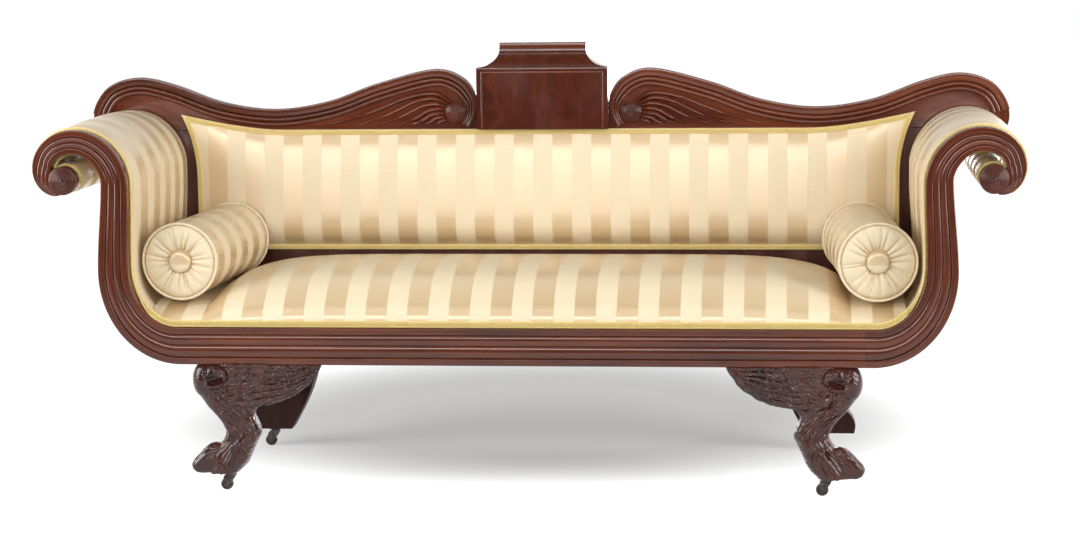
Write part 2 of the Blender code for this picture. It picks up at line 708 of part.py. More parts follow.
def rounded_slice(x0, x1, y0, y1, z, count, squareness):
    """A level slice through a carved leg: a squarish oval that fills the given sides."""
    ring = []
    for angle in np.linspace(0, 2 * math.pi, count, endpoint=False):
        c, s = math.cos(angle), math.sin(angle)
        x = math.copysign(abs(c) ** squareness, c)
        y = math.copysign(abs(s) ** squareness, s)
        ring.append(((x0 + x1) / 2 + x * (x1 - x0) / 2, (y0 + y1) / 2 + y * (y1 - y0) / 2, z))
    return ring


# Shares of the leg's height: (height, inner side from the caster's axis, outer side, thickness)
LEG_SECTIONS = (
    (1.00, -0.271, 0.240, 0.320),
    (0.86, -0.271, 0.296, 0.344),
    (0.70, -0.267, 0.256, 0.328),
    (0.53, -0.236, 0.104, 0.272),
    (0.40, -0.295, 0.012, 0.248),
    (0.29, -0.255, 0.072, 0.264),
    (0.20, -0.212, 0.184, 0.312),
    (0.09, -0.164, 0.268, 0.340),
    (0.03, -0.116, 0.276, 0.340),
    (0.00, -0.088, 0.260, 0.320),
)
# A knuckled toe from its root to its tip: (place out from the axis, height) as shares of the leg's height,
# half height as another, and half width as a share of the toe's
TOE_SECTIONS = (
    (-0.020, 0.190, 0.060, 0.60),
    (0.060, 0.205, 0.084, 0.95),
    (0.145, 0.180, 0.084, 1.00),
    (0.215, 0.140, 0.086, 1.03),
    (0.270, 0.095, 0.078, 0.98),
    (0.312, 0.072, 0.060, 0.80),
    (0.327, 0.066, 0.030, 0.40),
)
# Shares of the head's height: the beak's line, from the caster's axis and the rail's underside
BEAK = ((0.54, -0.38), (0.13, -0.44), (-0.21, -0.69), (-0.25, -1.00))


def ball(name, centre, radii, segments):
    """An ellipsoid with its axes along x, y and z."""
    shape = bmesh.new()
    bmesh.ops.create_uvsphere(shape, u_segments=segments, v_segments=segments * 2 // 3, radius=1.0)
    bmesh.ops.scale(shape, vec=radii, verts=shape.verts)
    bmesh.ops.translate(shape, vec=centre, verts=shape.verts)
    mesh = bpy.data.meshes.new(name)
    shape.to_mesh(mesh)
    shape.free()
    return mesh


def eagle_head(name, sign):
    """The head at the top of a leg: a domed crown, and a hooked beak that turns in under the wing."""
    place = (sign * (LEG_X + HEAD_OUT), FACE_Y + LEG_FRONT + HEAD_BACK, RAIL_BOTTOM - HEAD_DROP)
    dome = ball(name, place, (HEAD_W / 2, HEAD_T / 2, HEAD_H / 2), 12)
    line = smooth_line(BEAK, 6) * HEAD_H
    rings = []
    for i, (point, normal) in enumerate(zip(line, side_normals(line))):
        half = BEAK_R * (1 - 0.75 * i / (len(line) - 1))
        ring = []
        for angle in np.linspace(0, 2 * math.pi, 8, endpoint=False):
            x, z = point + normal * half * math.sin(angle)
            ring.append((sign * (LEG_X + x), FACE_Y + LEG_FRONT + half * math.cos(angle), RAIL_BOTTOM + z))
        rings.append(ring)
    return [dome, loft(name + "_beak", rings)]


def paw_toes(name, sign):
    """Knuckled toes side by side, which point outwards from the leg."""
    toes = []
    for number in range(TOES):
        y = FACE_Y + LEG_FRONT + TOE_FRONT + number * TOE_PITCH
        rings = []
        for out, up, high, wide in smooth_line(TOE_SECTIONS, 12):
            x = sign * (LEG_X + LEG_H * out)
            ring = []
            for angle in np.linspace(0, 2 * math.pi, 10, endpoint=False):
                z = LEG_SOLE + LEG_H * max(TOE_LIFT, up + high * math.sin(angle))
                ring.append((x, y + TOE_R * wide * math.cos(angle), z))
            rings.append(ring)
        toes.append(loft(f"{name}_{number}", rings))
    return toes


def front_leg(side, sign):
    """A leg carved in profile: an eagle's head above, a bent hock, and a paw whose toes point outwards."""
    front = FACE_Y + LEG_FRONT
    rings = []
    for up, inner, outer, thickness in smooth_line(LEG_SECTIONS, 17):
        x0, x1 = sorted((sign * (LEG_X + LEG_H * inner), sign * (LEG_X + LEG_H * outer)))
        z = LEG_SOLE + LEG_H * up
        rings.append(rounded_slice(x0, x1, front, front + LEG_H * thickness, z, 16, 0.72))
    name = f"{side}_front_leg"
    carving = eagle_head(f"{name}_head", sign) + paw_toes(f"{name}_toe", sign)
    publish(name, joined(name, loft(name, rings), carving), DARK_MAHOGANY)


def wing_bracket(side, sign):
    """A wing carved as a bracket under the rail: long feathers that widen from the tip to the leg."""
    root = LEG_X - WING_ROOT_IN - CLEAR
    rings = []
    for t in np.linspace(0.02, 1, 11):
        x = root - WING_L * (1 - t)
        low = LEG_TOP - WING_DROP * math.sin(t * math.pi / 2) ** 0.75
        thickness = WING_TIP_T + (WING_ROOT_T - WING_TIP_T) * t
        front = FACE_Y + LEG_FRONT
        ring = [(sign * x, front + thickness, LEG_TOP), (sign * x, front + FEATHER_RELIEF, LEG_TOP)]
        for feather in range(WING_FEATHERS):
            for s, proud in ((0.25, 0.8), (0.6, 1.0), (1.0, 0.0)):
                z = LEG_TOP + (low - LEG_TOP) * (feather + s) / WING_FEATHERS
                ring.append((sign * x, front + FEATHER_RELIEF * (1 - proud * min(1.0, 3 * t)), z))
        ring.append((sign * x, front + thickness * 0.8, low))
        rings.append(ring)
    name = f"{side}_wing_bracket"
    publish(name, loft(name, rings), DARK_MAHOGANY)


def rear_leg(side, sign):
    """A plain leg sawn to the same bent profile as the front one."""
    inner = [(-0.76, 1.00), (-0.60, 0.86), (-0.456, 0.62), (-0.384, 0.40), (-0.304, 0.22), (-0.184, 0.00)]
    toe = [(0.28, 0.00), (0.292, 0.09), (0.232, 0.20), (0.112, 0.30)]
    shin = [(0.072, 0.42), (0.152, 0.60), (0.28, 0.84), (0.244, 1.00)]
    outline = [*smooth_line(inner, 14), *smooth_line(toe + shin, 16)]
    outline = [(sign * (LEG_X + LEG_H * out), LEG_SOLE + LEG_H * up) for out, up in outline]
    name = f"{side}_rear_leg"
    mesh = upright_plate(name, [outline], REAR_Y - REAR_LEG_T, REAR_Y)
    publish(name, mesh, DARK_MAHOGANY)


def caster(corner, x, y):
    """A trailing caster: a plate with its pintle, a fork that swivels on it, an axle and a wheel."""
    boss_bottom = -CASTER_PLATE_T - PINTLE_BOSS_H
    pintle_bottom = boss_bottom - CLEAR - FORK_CROWN + PINTLE_SHORT
    profile = [
        (0.0, 0.0),
        (CASTER_PLATE_R, 0.0),
        (CASTER_PLATE_R, -CASTER_PLATE_T),
        (PINTLE_BOSS_R, -CASTER_PLATE_T),
        (PINTLE_BOSS_R, boss_bottom),
        (PINTLE_R, boss_bottom),
        (PINTLE_R, pintle_bottom),
        (0.0, pintle_bottom),
    ]
    name = f"{corner}_caster_plate"
    publish(name, turned(name, profile, 14, Matrix.Translation((x, y, PLATE_TOP))), BRASS)
    axle_x = -CASTER_TRAIL
    half_slot = WHEEL_W / 2 + WHEEL_GAP
    half_fork = half_slot + CHEEK_T
    place_fork(f"{corner}_caster_fork", (x, y), axle_x, half_slot, half_fork)
    shank = half_fork + CLEAR
    profile = [
        (0.0, shank + AXLE_HEAD_H),
        (AXLE_HEAD_R, shank + AXLE_HEAD_H),
        (AXLE_HEAD_R, shank),
        (AXLE_R, shank),
        (AXLE_R, -shank),
        (AXLE_HEAD_R, -shank),
        (AXLE_HEAD_R, -shank - AXLE_HEAD_H),
        (0.0, -shank - AXLE_HEAD_H),
    ]
    at_axle = facing_forward(x + axle_x, y, WHEEL_R)
    name = f"{corner}_caster_axle"
    publish(name, turned(name, profile, 10, at_axle), BRASS)
    half = WHEEL_W / 2
    bore = AXLE_R + CLEAR
    profile = [
        (bore, half),
        (WHEEL_R * 0.8, half),
        (WHEEL_R, half * 0.55),
        (WHEEL_R, -half * 0.55),
        (WHEEL_R * 0.8, -half),
        (bore, -half),
        (bore, half),
    ]
    name = f"{corner}_caster_wheel"
    publish(name, turned(name, profile, 20, at_axle), BRASS)


def place_fork(name, pintle, axle_x, half_slot, half_fork):
    """A horned fork: a crown bored for the pintle, and two cheeks bored for the axle."""
    x, y = pintle
    ear = AXLE_HEAD_R + EAR_RIM
    shoulder = CROWN_TOP - FORK_SHOULDER
    outline = [(PINTLE_BOSS_R, CROWN_TOP), (PINTLE_BOSS_R, shoulder)]
    for angle in np.linspace(math.radians(-30), math.radians(-170), 6):
        outline.append((axle_x + ear * math.cos(angle), WHEEL_R + ear * math.sin(angle)))
    outline += [(axle_x - ear, shoulder), (-PINTLE_BOSS_R, CROWN_TOP)]
    fork = upright_plate(name, [outline], -half_fork, half_fork)
    past = CROWN_TOP
    slot = box(name, (axle_x - past, -half_slot, -past), (past, half_slot, SLOT_TOP))
    bore_r = PINTLE_R + CLEAR
    bore = [(0.0, CROWN_TOP + past), (bore_r, CROWN_TOP + past), (bore_r, WHEEL_R), (0.0, WHEEL_R)]
    pintle_bore = turned(name, bore, 14, Matrix.Identity(4))
    axle_r = AXLE_R + CLEAR
    reach = half_fork + past
    across = [(0.0, reach), (axle_r, reach), (axle_r, -reach), (0.0, -reach)]
    axle_bore = turned(name, across, 10, facing_forward(axle_x, 0.0, WHEEL_R))
    mesh = joined(name, fork, [slot, pintle_bore, axle_bore], "DIFFERENCE")
    mesh.transform(Matrix.Translation((x, y, 0)))
    publish(name, mesh, BRASS)


# (share of the depth, share of the crown) over the seat, from the front rail to the back
SEAT_PROFILE = (
    (0.00, 0.00),
    (0.00, 0.11),
    (0.03, 0.38),
    (0.07, 0.52),
    (0.16, 0.76),
    (0.27, 0.91),
    (0.53, 1.00),
    (0.78, 0.95),
    (1.00, 0.75),
)


def seat_share(x):
    """How much of the seat's crown stands at x: full in the middle and falling round to the ends."""
    across = min(1.0, abs(x) / SEAT_SHOULDER_X)
    return max(SEAT_END, math.sqrt(1 - across**SEAT_ROUNDNESS))


SEAT_STATIONS = SEAT_X * np.sin(np.linspace(-math.pi / 2, math.pi / 2, 21))
SEAT_SHARES = [seat_share(x) for x in SEAT_STATIONS]


def seat_height(x, y):
    """The height of the seat's faces at a place, straight between the lines they are made on."""
    depths, heights = zip(*SEAT_PROFILE[1:])
    along = (y - FACE_Y - SEAT_SETBACK) / SEAT_DEPTH
    share = np.interp(x, SEAT_STATIONS, SEAT_SHARES)
    return SEAT_BASE + SEAT_CROWN * share * np.interp(along, depths, heights)


def seat_pad():
    rings = []
    for x, share in zip(SEAT_STATIONS, SEAT_SHARES):
        ring = []
        for along, rise in SEAT_PROFILE:
            y = FACE_Y + SEAT_SETBACK + along * SEAT_DEPTH
            ring.append((x, y, SEAT_BASE + SEAT_CROWN * share * rise))
        ring.append((x, FACE_Y + SEAT_SETBACK + SEAT_DEPTH, SEAT_BASE))
        rings.append(ring)
    publish("seat_pad", loft("seat_pad", rings), SATIN)
    front = FACE_Y + SEAT_SETBACK - CLEAR
    low = (-SEAM_X, front - GIMP_T, RAIL_TOP + CLEAR)
    high = (SEAM_X, front, RAIL_TOP + CLEAR + GIMP_W)
    publish("seat_gimp", box("seat_gimp", low, high), GIMP)


def back_point(across, up):
    """A point (x, z) of the back pad's outline field: across runs from -1 to 1, and up from 0 to 1."""
    flare = max(0.0, abs(across) * BACK_CORNER_X - BACK_FLARE_X) / (BACK_CORNER_X - BACK_FLARE_X)
    top = CREST_Z - CLEAR + (BACK_CORNER_Z - CREST_Z) * flare**1.6
    z = BACK_PAD_Z + (top - BACK_PAD_Z) * up
    spread = max(0.0, z - BACK_FLARE_Z) / (BACK_CORNER_Z - BACK_FLARE_Z)
    return across * (BACK_PAD_X + (BACK_CORNER_X - BACK_PAD_X) * spread**2.2), z


def back_grid():
    """The lines across and up the back pad, with a flat margin under the gimp, and the margin's shares."""
    edge_share = GIMP_W / (CREST_Z - BACK_PAD_Z)
    side_share = 1 - GIMP_W / BACK_PAD_X
    ups = [0.0, *np.linspace(edge_share, 1 - edge_share, 8), 1.0]
    half = [*np.linspace(0, side_share, 8), 1.0]
    acrosses = [-across for across in reversed(half[1:])] + half
    return acrosses, ups, side_share, edge_share


def back_pad():
    acrosses, ups, side_share, edge_share = back_grid()
    rings = []
    for across in acrosses:
        sideways = max(0.0, 1 - (abs(across) / side_share) ** 8)
        ring = []
        for up in ups:
            t = (up - edge_share) / (1 - 2 * edge_share)
            swell = max(0.0, 1 - abs(2 * t - 1) ** 3) * sideways
            x, z = back_point(across, up)
            ring.append((x, CREST_Y - CLEAR - BACK_EDGE_T - BACK_CROWN * swell, z))
        for up in reversed(ups):
            x, z = back_point(across, up)
            ring.append((x, CREST_Y - CLEAR, z))
        rings.append(ring)
    publish("back_pad", loft("back_pad", rings), SATIN)
    outlines = [back_loop(acrosses, ups), back_loop(acrosses[1:-1], ups[1:-1])]
    front = CREST_Y - 2 * CLEAR - BACK_EDGE_T
    publish("back_gimp", upright_plate("back_gimp", outlines, front - GIMP_T, front), GIMP)


def back_loop(acrosses, ups):
    """A closed loop of points round the given lines of the back pad."""
    bottom = [back_point(across, ups[0]) for across in acrosses]
    right = [back_point(acrosses[-1], up) for up in ups[1:-1]]
    top = [back_point(across, ups[-1]) for across in reversed(acrosses)]
    left = [back_point(acrosses[0], up) for up in reversed(ups[1:-1])]
    return bottom + right + top + left


def bolster_end():
    """(distance in from the end, radius, pleat depth) from the button out to the piped edge."""
    button = BOLSTER_BUTTON_R / BOLSTER_R
    shares = [
        (0.045, 0.60 * button, 0.0),
        (0.068, button, 0.0),
        (0.125, 1.06 * button, 0.0),
        (0.045, 0.46, 0.018),
        (0.011, 0.66, 0.020),
        (0.045, 0.88, 0.009),
        (0.091, 0.96, 0.0),
        (0.148, 1.00, 0.0),
    ]
    return [tuple(BOLSTER_R * share for share in row) for row in shares]


def bolster_rest(sign):
    """The height of a bolster's axis at which it just lies on the seat."""
    highest = 0.0
    for along in np.linspace(-BOLSTER_L / 2, BOLSTER_L / 2, 23):
        for offset in np.linspace(-0.98, 0.98, 41) * BOLSTER_R:
            x = sign * BOLSTER_X + offset * math.cos(BOLSTER_YAW) - sign * along * math.sin(BOLSTER_YAW)
            y = BOLSTER_Y + along * math.cos(BOLSTER_YAW) + sign * offset * math.sin(BOLSTER_YAW)
            highest = max(highest, seat_height(x, y) + math.sqrt(BOLSTER_R**2 - offset**2))
    return highest + CLEAR


def bolster(side, sign):
    """A round bolster with piped edges, and ends gathered in pleats to a covered button."""
    front = [(-BOLSTER_L / 2 + inset, radius, pleat) for inset, radius, pleat in bolster_end()]
    back = [(-along, radius, -pleat) for along, radius, pleat in reversed(front)]
    rings = []
    count = 2 * BOLSTER_PLEATS
    for along, radius, pleat in front + back:
        ring = []
        for i in range(count):
            angle = 2 * math.pi * i / count
            ring.append((radius * math.cos(angle), along + pleat * (-1) ** i, radius * math.sin(angle)))
        rings.append(ring)
    name = f"{side}_bolster"
    piece = publish(name, loft(name, rings), SATIN)
    piece.location = (sign * BOLSTER_X, BOLSTER_Y, bolster_rest(sign))
    piece.rotation_euler = (0, 0, sign * BOLSTER_YAW)


def main():
    front_rail()
    seat_frame()
    back_frame()
    tablet()
    for side, sign in SIDES:
        arm_facing(side, sign)
        arm_eye_and_rail(side, sign)
        arm_upholstery(side, sign)
        crest_rail(side, sign)
        front_leg(side, sign)
        wing_bracket(side, sign)
        rear_leg(side, sign)
        caster(f"{side}_front", sign * LEG_X, FRONT_CASTER_Y)
        caster(f"{side}_rear", sign * LEG_X, REAR_CASTER_Y)
        bolster(side, sign)
    seat_pad()
    back_pad()


main()
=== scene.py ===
"""Looks of the mahogany settee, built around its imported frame: reeded show wood, carved legs, striped satin
upholstery with gimp, two bolsters and casters, seen by a camera at the photograph's viewpoint.

Metres, +Z up, the front faces -Y, and left and right are as seen from the front."""

import math
from math import cos, pi, radians, sin

import bmesh
import bpy
import numpy as np
from mathutils import Matrix, Vector, noise

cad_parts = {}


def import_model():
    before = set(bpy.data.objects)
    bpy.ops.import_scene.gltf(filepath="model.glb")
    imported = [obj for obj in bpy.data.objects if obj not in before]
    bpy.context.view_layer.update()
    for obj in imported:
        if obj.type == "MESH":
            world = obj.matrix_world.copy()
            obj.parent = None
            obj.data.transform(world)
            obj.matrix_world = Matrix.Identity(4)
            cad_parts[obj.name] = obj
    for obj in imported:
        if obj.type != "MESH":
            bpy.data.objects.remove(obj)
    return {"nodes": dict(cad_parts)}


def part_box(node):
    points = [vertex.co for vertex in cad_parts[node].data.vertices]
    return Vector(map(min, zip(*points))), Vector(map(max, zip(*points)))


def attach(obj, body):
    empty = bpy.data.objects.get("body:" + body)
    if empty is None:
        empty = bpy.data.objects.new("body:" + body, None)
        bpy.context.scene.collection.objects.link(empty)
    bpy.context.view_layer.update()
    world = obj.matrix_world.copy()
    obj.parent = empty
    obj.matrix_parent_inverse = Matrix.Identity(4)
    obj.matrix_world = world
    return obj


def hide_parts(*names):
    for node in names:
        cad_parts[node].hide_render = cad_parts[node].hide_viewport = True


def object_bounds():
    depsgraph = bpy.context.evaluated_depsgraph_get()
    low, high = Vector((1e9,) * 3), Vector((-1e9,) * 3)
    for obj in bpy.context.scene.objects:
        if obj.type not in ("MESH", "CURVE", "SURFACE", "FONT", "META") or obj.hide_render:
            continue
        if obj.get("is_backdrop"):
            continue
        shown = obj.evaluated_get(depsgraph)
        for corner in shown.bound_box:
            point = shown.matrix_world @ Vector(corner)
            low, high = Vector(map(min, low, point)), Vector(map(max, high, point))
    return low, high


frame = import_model()
CAD_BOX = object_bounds()
SIDES = (("left", -1), ("right", 1))
CORNERS = [f"{side}_{end}" for side, _ in SIDES for end in ("front", "rear")]


def turned(node):
    """The middle x and z and the radius of a turned node."""
    low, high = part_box(node)
    return (low.x + high.x) / 2, (low.z + high.z) / 2, (high.z - low.z) / 2


# The camera, fitted to the photograph
IMAGE_W = 1080
FOCAL_PX = 2491.7
SENSOR_W = 36.0
CAMERA_AT = (0.598, -5.68965, 1.267)
CAMERA_PITCH = radians(7.96)
CAMERA_YAW = radians(-5.86)
CAMERA_ROLL = radians(-0.71)

# Planes and pieces read from the frame
RAIL_LOW, RAIL_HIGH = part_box("front_seat_rail")
FACE_Y = RAIL_LOW.y
RAIL_BOTTOM = RAIL_LOW.z
RAIL_TOP = RAIL_HIGH.z
RAIL_H = RAIL_TOP - RAIL_BOTTOM
FRONT_RAIL_T = RAIL_HIGH.y - RAIL_LOW.y
SEAM_X = RAIL_HIGH.x
CREST_Y, REAR_Y = (corner.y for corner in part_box("rear_seat_rail"))
FACING_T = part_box("right_arm_facing")[1].y - FACE_Y
EYE_X, EYE_Z, EYE_R = turned("right_arm_eye")
EYE_PROUD = FACE_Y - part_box("right_arm_eye")[0].y
TABLET_LOW, TABLET_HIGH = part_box("crest_tablet")
TABLET_X = TABLET_HIGH.x
CREST_Z = TABLET_LOW.z
STILE_LOW, STILE_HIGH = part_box("right_back_stile")
CLEAR = 0.0003

# Arm facing, as in the part's source
BEND_START = 0.020
BEND_OUT = 0.146
BEND_RISE = 0.129
POST_W = 0.069
NECK_W = 0.059
SCROLL_R = 0.146
SCROLL_BOW = 0.004
SCROLL_TIP = 0.002
SCROLL_END = radians(-75)
HOOK_END = radians(40)
HOOK_SHARPNESS = 0.75
BEND_X = SEAM_X + BEND_START
BEND_TOP = RAIL_TOP + BEND_RISE
POST_X = BEND_X + BEND_OUT
BEND_STEPS = 40
POST_STEPS = 26
SCROLL_STEPS = 110
SCROLL_ANGLES = np.linspace(pi, SCROLL_END, SCROLL_STEPS)
GROOVE_D = 0.0045
GROOVE_LIP = 0.003
EASE_R = 0.0025
RAIL_BANDS = (0.19, 0.476, 0.81)
SCROLL_BANDS = (0.27, 0.51, 0.75)
ARM_FRONT = FACE_Y + FACING_T + CLEAR
ARM_BACK = CREST_Y - CLEAR

# Upholstery
STRIPE = 0.0935
SATIN_SHARE = 0.51
STRIPE_BLUR = 0.006
ARM_STRIPE_SHIFT = 0.025
GIMP_W = 0.013
SEAT_GIMP_W = 0.0165
ARM_GIMP_W = 0.009


# Materials

class Shader:
    """The node tree of a world or of a new material, with short ways to add nodes and set their inputs."""

    def __init__(self, owner, surface="Principled BSDF"):
        self.owner = bpy.data.materials.new(owner) if isinstance(owner, str) else owner
        self.owner.use_nodes = True
        self.tree = self.owner.node_tree
        self.surface = self.tree.nodes[surface]

    def put(self, socket, value):
        if isinstance(value, bpy.types.NodeSocket):
            self.tree.links.new(value, socket)
        else:
            socket.default_value = value

    def add(self, kind, settings=(), *values, **inputs):
        node = self.tree.nodes.new("ShaderNode" + kind)
        for key, value in dict(settings).items():
            setattr(node, key, value)
        for socket, value in zip(node.inputs, values):
            self.put(socket, value)
        for key, value in inputs.items():
            self.put(node.inputs[key.replace("_", " ")], value)
        return node

    def math(self, operation, first, second=0.0):
        return self.add("Math", {"operation": operation}, first, second).outputs[0]

    def blend(self, first, share, second):
        """Two values added in shares of one."""
        rest = self.math("MULTIPLY", second, 1 - share)
        return self.math("ADD", self.math("MULTIPLY", first, share), rest)

    def place(self, kind="Object"):
        return self.add("TexCoord").outputs[kind]

    def attribute(self, name):
        return self.add("Attribute", {"attribute_name": name}).outputs["Vector"]

    def axis(self, vector, letter):
        return self.add("SeparateXYZ", Vector=vector).outputs[letter]

    def noise(self, vector, scale, detail=4.0, roughness=0.55):
        """Noise of one scale, or drawn out by a scale for each axis."""
        if isinstance(scale, tuple):
            vector = self.add("Mapping", Vector=vector, Scale=scale).outputs[0]
            scale = 1.0
        node = self.add("TexNoise", Vector=vector, Scale=scale, Detail=detail, Roughness=roughness)
        return node.outputs["Fac"]

    def ramp(self, factor, *stops):
        node = self.add("ValToRGB", Fac=factor)
        elements = node.color_ramp.elements
        while len(elements) < len(stops):
            elements.new(0.5)
        for element, (place, colour) in zip(elements, stops):
            element.position = place
            element.color = (*colour, 1.0)
        return node.outputs["Color"]

    def mix(self, factor, first, second):
        node = self.add("Mix", {"data_type": "RGBA"}, factor)
        self.put(node.inputs[6], first)
        self.put(node.inputs[7], second)
        return node.outputs[2]

    def span(self, value, low, high, to_low, to_high):
        ends = {"From_Min": low, "From_Max": high, "To_Min": to_low, "To_Max": to_high}
        return self.add("MapRange", Value=value, **ends).outputs["Result"]

    def bump(self, height, strength, distance):
        return self.add("Bump", Height=height, Strength=strength, Distance=distance).outputs[0]

    def set(self, **values):
        for key, value in values.items():
            self.put(self.surface.inputs[key.replace("_", " ")], value)


GRAIN_TURNS = {"X": (0, 0, 0), "Y": (0, 0, pi / 2), "Z": (0, pi / 2, 0)}
# Scales of noise along and across the grain
FIGURE = (2.2, 22.0, 22.0)
STREAKS = (9.0, 260.0, 260.0)
PORES = (60.0, 1500.0, 1500.0)
SMUDGES = (7.0, 11.0, 11.0)
# Scales of noise across and along the stripes
SLUBS = (18.0, 700.0, 1.0)
SATIN_THREADS = (2600.0, 300.0, 1.0)
MATTE_TICKS = (900.0, 2400.0, 1.0)
# The darker and the lighter tone of each kind of stripe
MATTE_TONES = (0.772, 0.635, 0.430), (0.822, 0.693, 0.486)
GLOSS_TONES = (0.650, 0.470, 0.255), (0.710, 0.530, 0.300)


def wood(name, tones, gloss, grain_axis=None, swirl=0.0, polish=1.0):
    """Polished wood: ribbon figure, fine dark pores along the grain, and a varnish with slight unevenness."""
    shader = Shader(name)
    if grain_axis is None:
        flow = shader.attribute("grain")
    else:
        flow = shader.add("Mapping", Vector=shader.place(), Rotation=GRAIN_TURNS[grain_axis]).outputs[0]
    if swirl:
        eddy = shader.add("TexNoise", Vector=flow, Scale=9.0, Detail=2.0).outputs["Color"]
        settings = {"operation": "MULTIPLY_ADD"}
        flow = shader.add("VectorMath", settings, eddy, (swirl, swirl, swirl), flow).outputs[0]
    figure = shader.noise(flow, FIGURE, 5.0, 0.6)
    streak = shader.noise(flow, STREAKS, 3.0, 0.6)
    pores = shader.noise(flow, PORES, 2.0, 0.5)
    smudge = shader.noise(flow, SMUDGES, 3.0, 0.5)
    colour = shader.ramp(shader.blend(figure, 0.65, streak), *zip((0.34, 0.50, 0.66), tones))
    pore_tone = (*[0.5 * part for part in tones[0]], 1.0)
    colour = shader.mix(shader.span(pores, 0.60, 0.72, 0.0, 0.45), colour, pore_tone)
    roughness = shader.span(smudge, 0.3, 0.7, gloss - 0.05, gloss + 0.07)
    shader.set(Base_Color=colour, Roughness=roughness, Coat_Weight=0.35 * polish, Coat_Roughness=0.07)
    uneven = shader.bump(shader.blend(smudge, 0.7, streak), 0.16, 0.0005)
    shader.set(Specular_IOR_Level=0.40 * polish, Normal=uneven)
    return shader.owner


def satin(name):
    """Striped cloth: satin stripes that throw the light back, between matte ones, over a fine weave."""
    shader = Shader(name)
    weave = shader.attribute("weave")
    place = shader.math("FRACT", shader.math("DIVIDE", shader.axis(weave, "X"), STRIPE))
    off_centre = shader.math("ABSOLUTE", shader.math("SUBTRACT", place, 0.5))
    half = SATIN_SHARE / 2
    mask = shader.span(off_centre, half - STRIPE_BLUR, half + STRIPE_BLUR, 1.0, 0.0)
    slub = shader.noise(weave, SLUBS, 3.0, 0.6)
    fade = shader.noise(weave, (3.0, 3.0, 3.0), 2.0, 0.5)
    matte = shader.ramp(slub, *zip((0.30, 0.70), MATTE_TONES))
    gloss = shader.ramp(fade, *zip((0.30, 0.70), GLOSS_TONES))
    thread = shader.noise(weave, SATIN_THREADS, 1.0, 0.5)
    tick = shader.noise(weave, MATTE_TICKS, 1.0, 0.5)
    shader.set(Base_Color=shader.mix(mask, matte, gloss), Roughness=shader.span(mask, 0.0, 1.0, 0.60, 0.34))
    shader.set(Metallic=shader.span(mask, 0.0, 1.0, 0.0, 0.16), Specular_IOR_Level=0.60)
    shader.set(Coat_Weight=shader.span(mask, 0.0, 1.0, 0.0, 0.90), Coat_Roughness=0.32, Coat_IOR=1.8)
    shader.set(Normal=shader.bump(shader.mix(mask, tick, thread), 0.15, 0.0004))
    return shader.owner


def braid_thread(name):
    """Twisted gold rayon of the gimp, with painted shade that darkens it on the ribbon and down between its
    strands.
    """
    shader = Shader(name)
    place = shader.place()
    strand = shader.noise(place, 900.0, 2.0)
    tone = shader.blend(strand, 0.6, shader.noise(place, 9.0, 2.0))
    colour = shader.ramp(tone, (0.32, (0.88, 0.71, 0.290)), (0.68, (0.96, 0.82, 0.410)))
    # Painted shade: where the braid tag is low, on the ribbon and down between the strands, the gold is mixed
    # towards a darker tone
    proud = shader.axis(shader.attribute("braid"), "X")
    colour = shader.mix(proud, (0.70, 0.53, 0.170, 1.0), colour)
    shader.set(Base_Color=colour, Roughness=0.55, Specular_IOR_Level=0.4, Sheen_Weight=0.2)
    shader.set(Normal=shader.bump(strand, 0.5, 0.0006))
    return shader.owner


def webbing(name):
    """Coarse jute straps, woven both ways."""
    shader = Shader(name)
    place = shader.place()
    warp = shader.noise(place, (900.0, 75.0, 900.0), 2.0)
    weft = shader.noise(place, (75.0, 900.0, 900.0), 2.0)
    woven = shader.math("MAXIMUM", warp, weft)
    colour = shader.ramp(woven, (0.40, (0.20, 0.125, 0.060)), (0.70, (0.46, 0.320, 0.175)))
    shader.set(Base_Color=colour, Roughness=0.9, Normal=shader.bump(woven, 0.6, 0.0010))
    return shader.owner


def aged_metal(name):
    """Darkened brass with rubbed high spots and dull pits."""
    shader = Shader(name)
    place = shader.place()
    patina = shader.noise(place, 160.0, 5.0, 0.65)
    tones = (0.045, 0.038, 0.036), (0.090, 0.076, 0.070), (0.22, 0.18, 0.14)
    colour = shader.ramp(patina, *zip((0.35, 0.55, 0.75), tones))
    shader.set(Base_Color=colour, Metallic=0.85, Roughness=shader.span(patina, 0.3, 0.8, 0.55, 0.32))
    shader.set(Normal=shader.bump(shader.noise(place, 900.0, 2.0), 0.35, 0.0004))
    return shader.owner


MAHOGANY_TONES = (0.042, 0.0085, 0.0036), (0.098, 0.0200, 0.0068), (0.165, 0.0370, 0.0115)
DARK_TONES = (0.024, 0.0062, 0.0045), (0.054, 0.0135, 0.0090), (0.090, 0.0240, 0.0150)
# Painted shade: the rear tones are a darker copy of the leg tones, for the rear legs and rear rail that stand
# in shade
REAR_SHADE_TONES = (0.012, 0.0031, 0.0023), (0.026, 0.0068, 0.0046), (0.042, 0.0115, 0.0075)
FLAME_TONES = (0.042, 0.0082, 0.0036), (0.074, 0.0146, 0.0056), (0.115, 0.0245, 0.0088)
BEECH_TONES = (0.30, 0.175, 0.085), (0.42, 0.255, 0.130), (0.52, 0.335, 0.185)
MAHOGANY = wood("mahogany", MAHOGANY_TONES, 0.19)
MAHOGANY_X = wood("mahogany_along", MAHOGANY_TONES, 0.19, "X")
FLAME = wood("flame_mahogany", FLAME_TONES, 0.19, "Z", 0.16)
DARK = wood("dark_mahogany", DARK_TONES, 0.19, "Z", polish=0.85)
# Painted shade in its darker tones; its lower polish and rougher varnish are a real finish
UNPOLISHED_SHADED_WOOD = wood("unpolished_mahogany_painted_shade", REAR_SHADE_TONES, 0.42, "Z", polish=0.3)
TURNED = wood("turned_mahogany", FLAME_TONES, 0.30, "Y", polish=0.6)
BEECH = wood("beech", BEECH_TONES, 0.62, "X")
SATIN = satin("striped_satin")
GIMP = braid_thread("gold_gimp")
JUTE = webbing("jute_webbing")
BRASS = aged_metal("aged_brass")
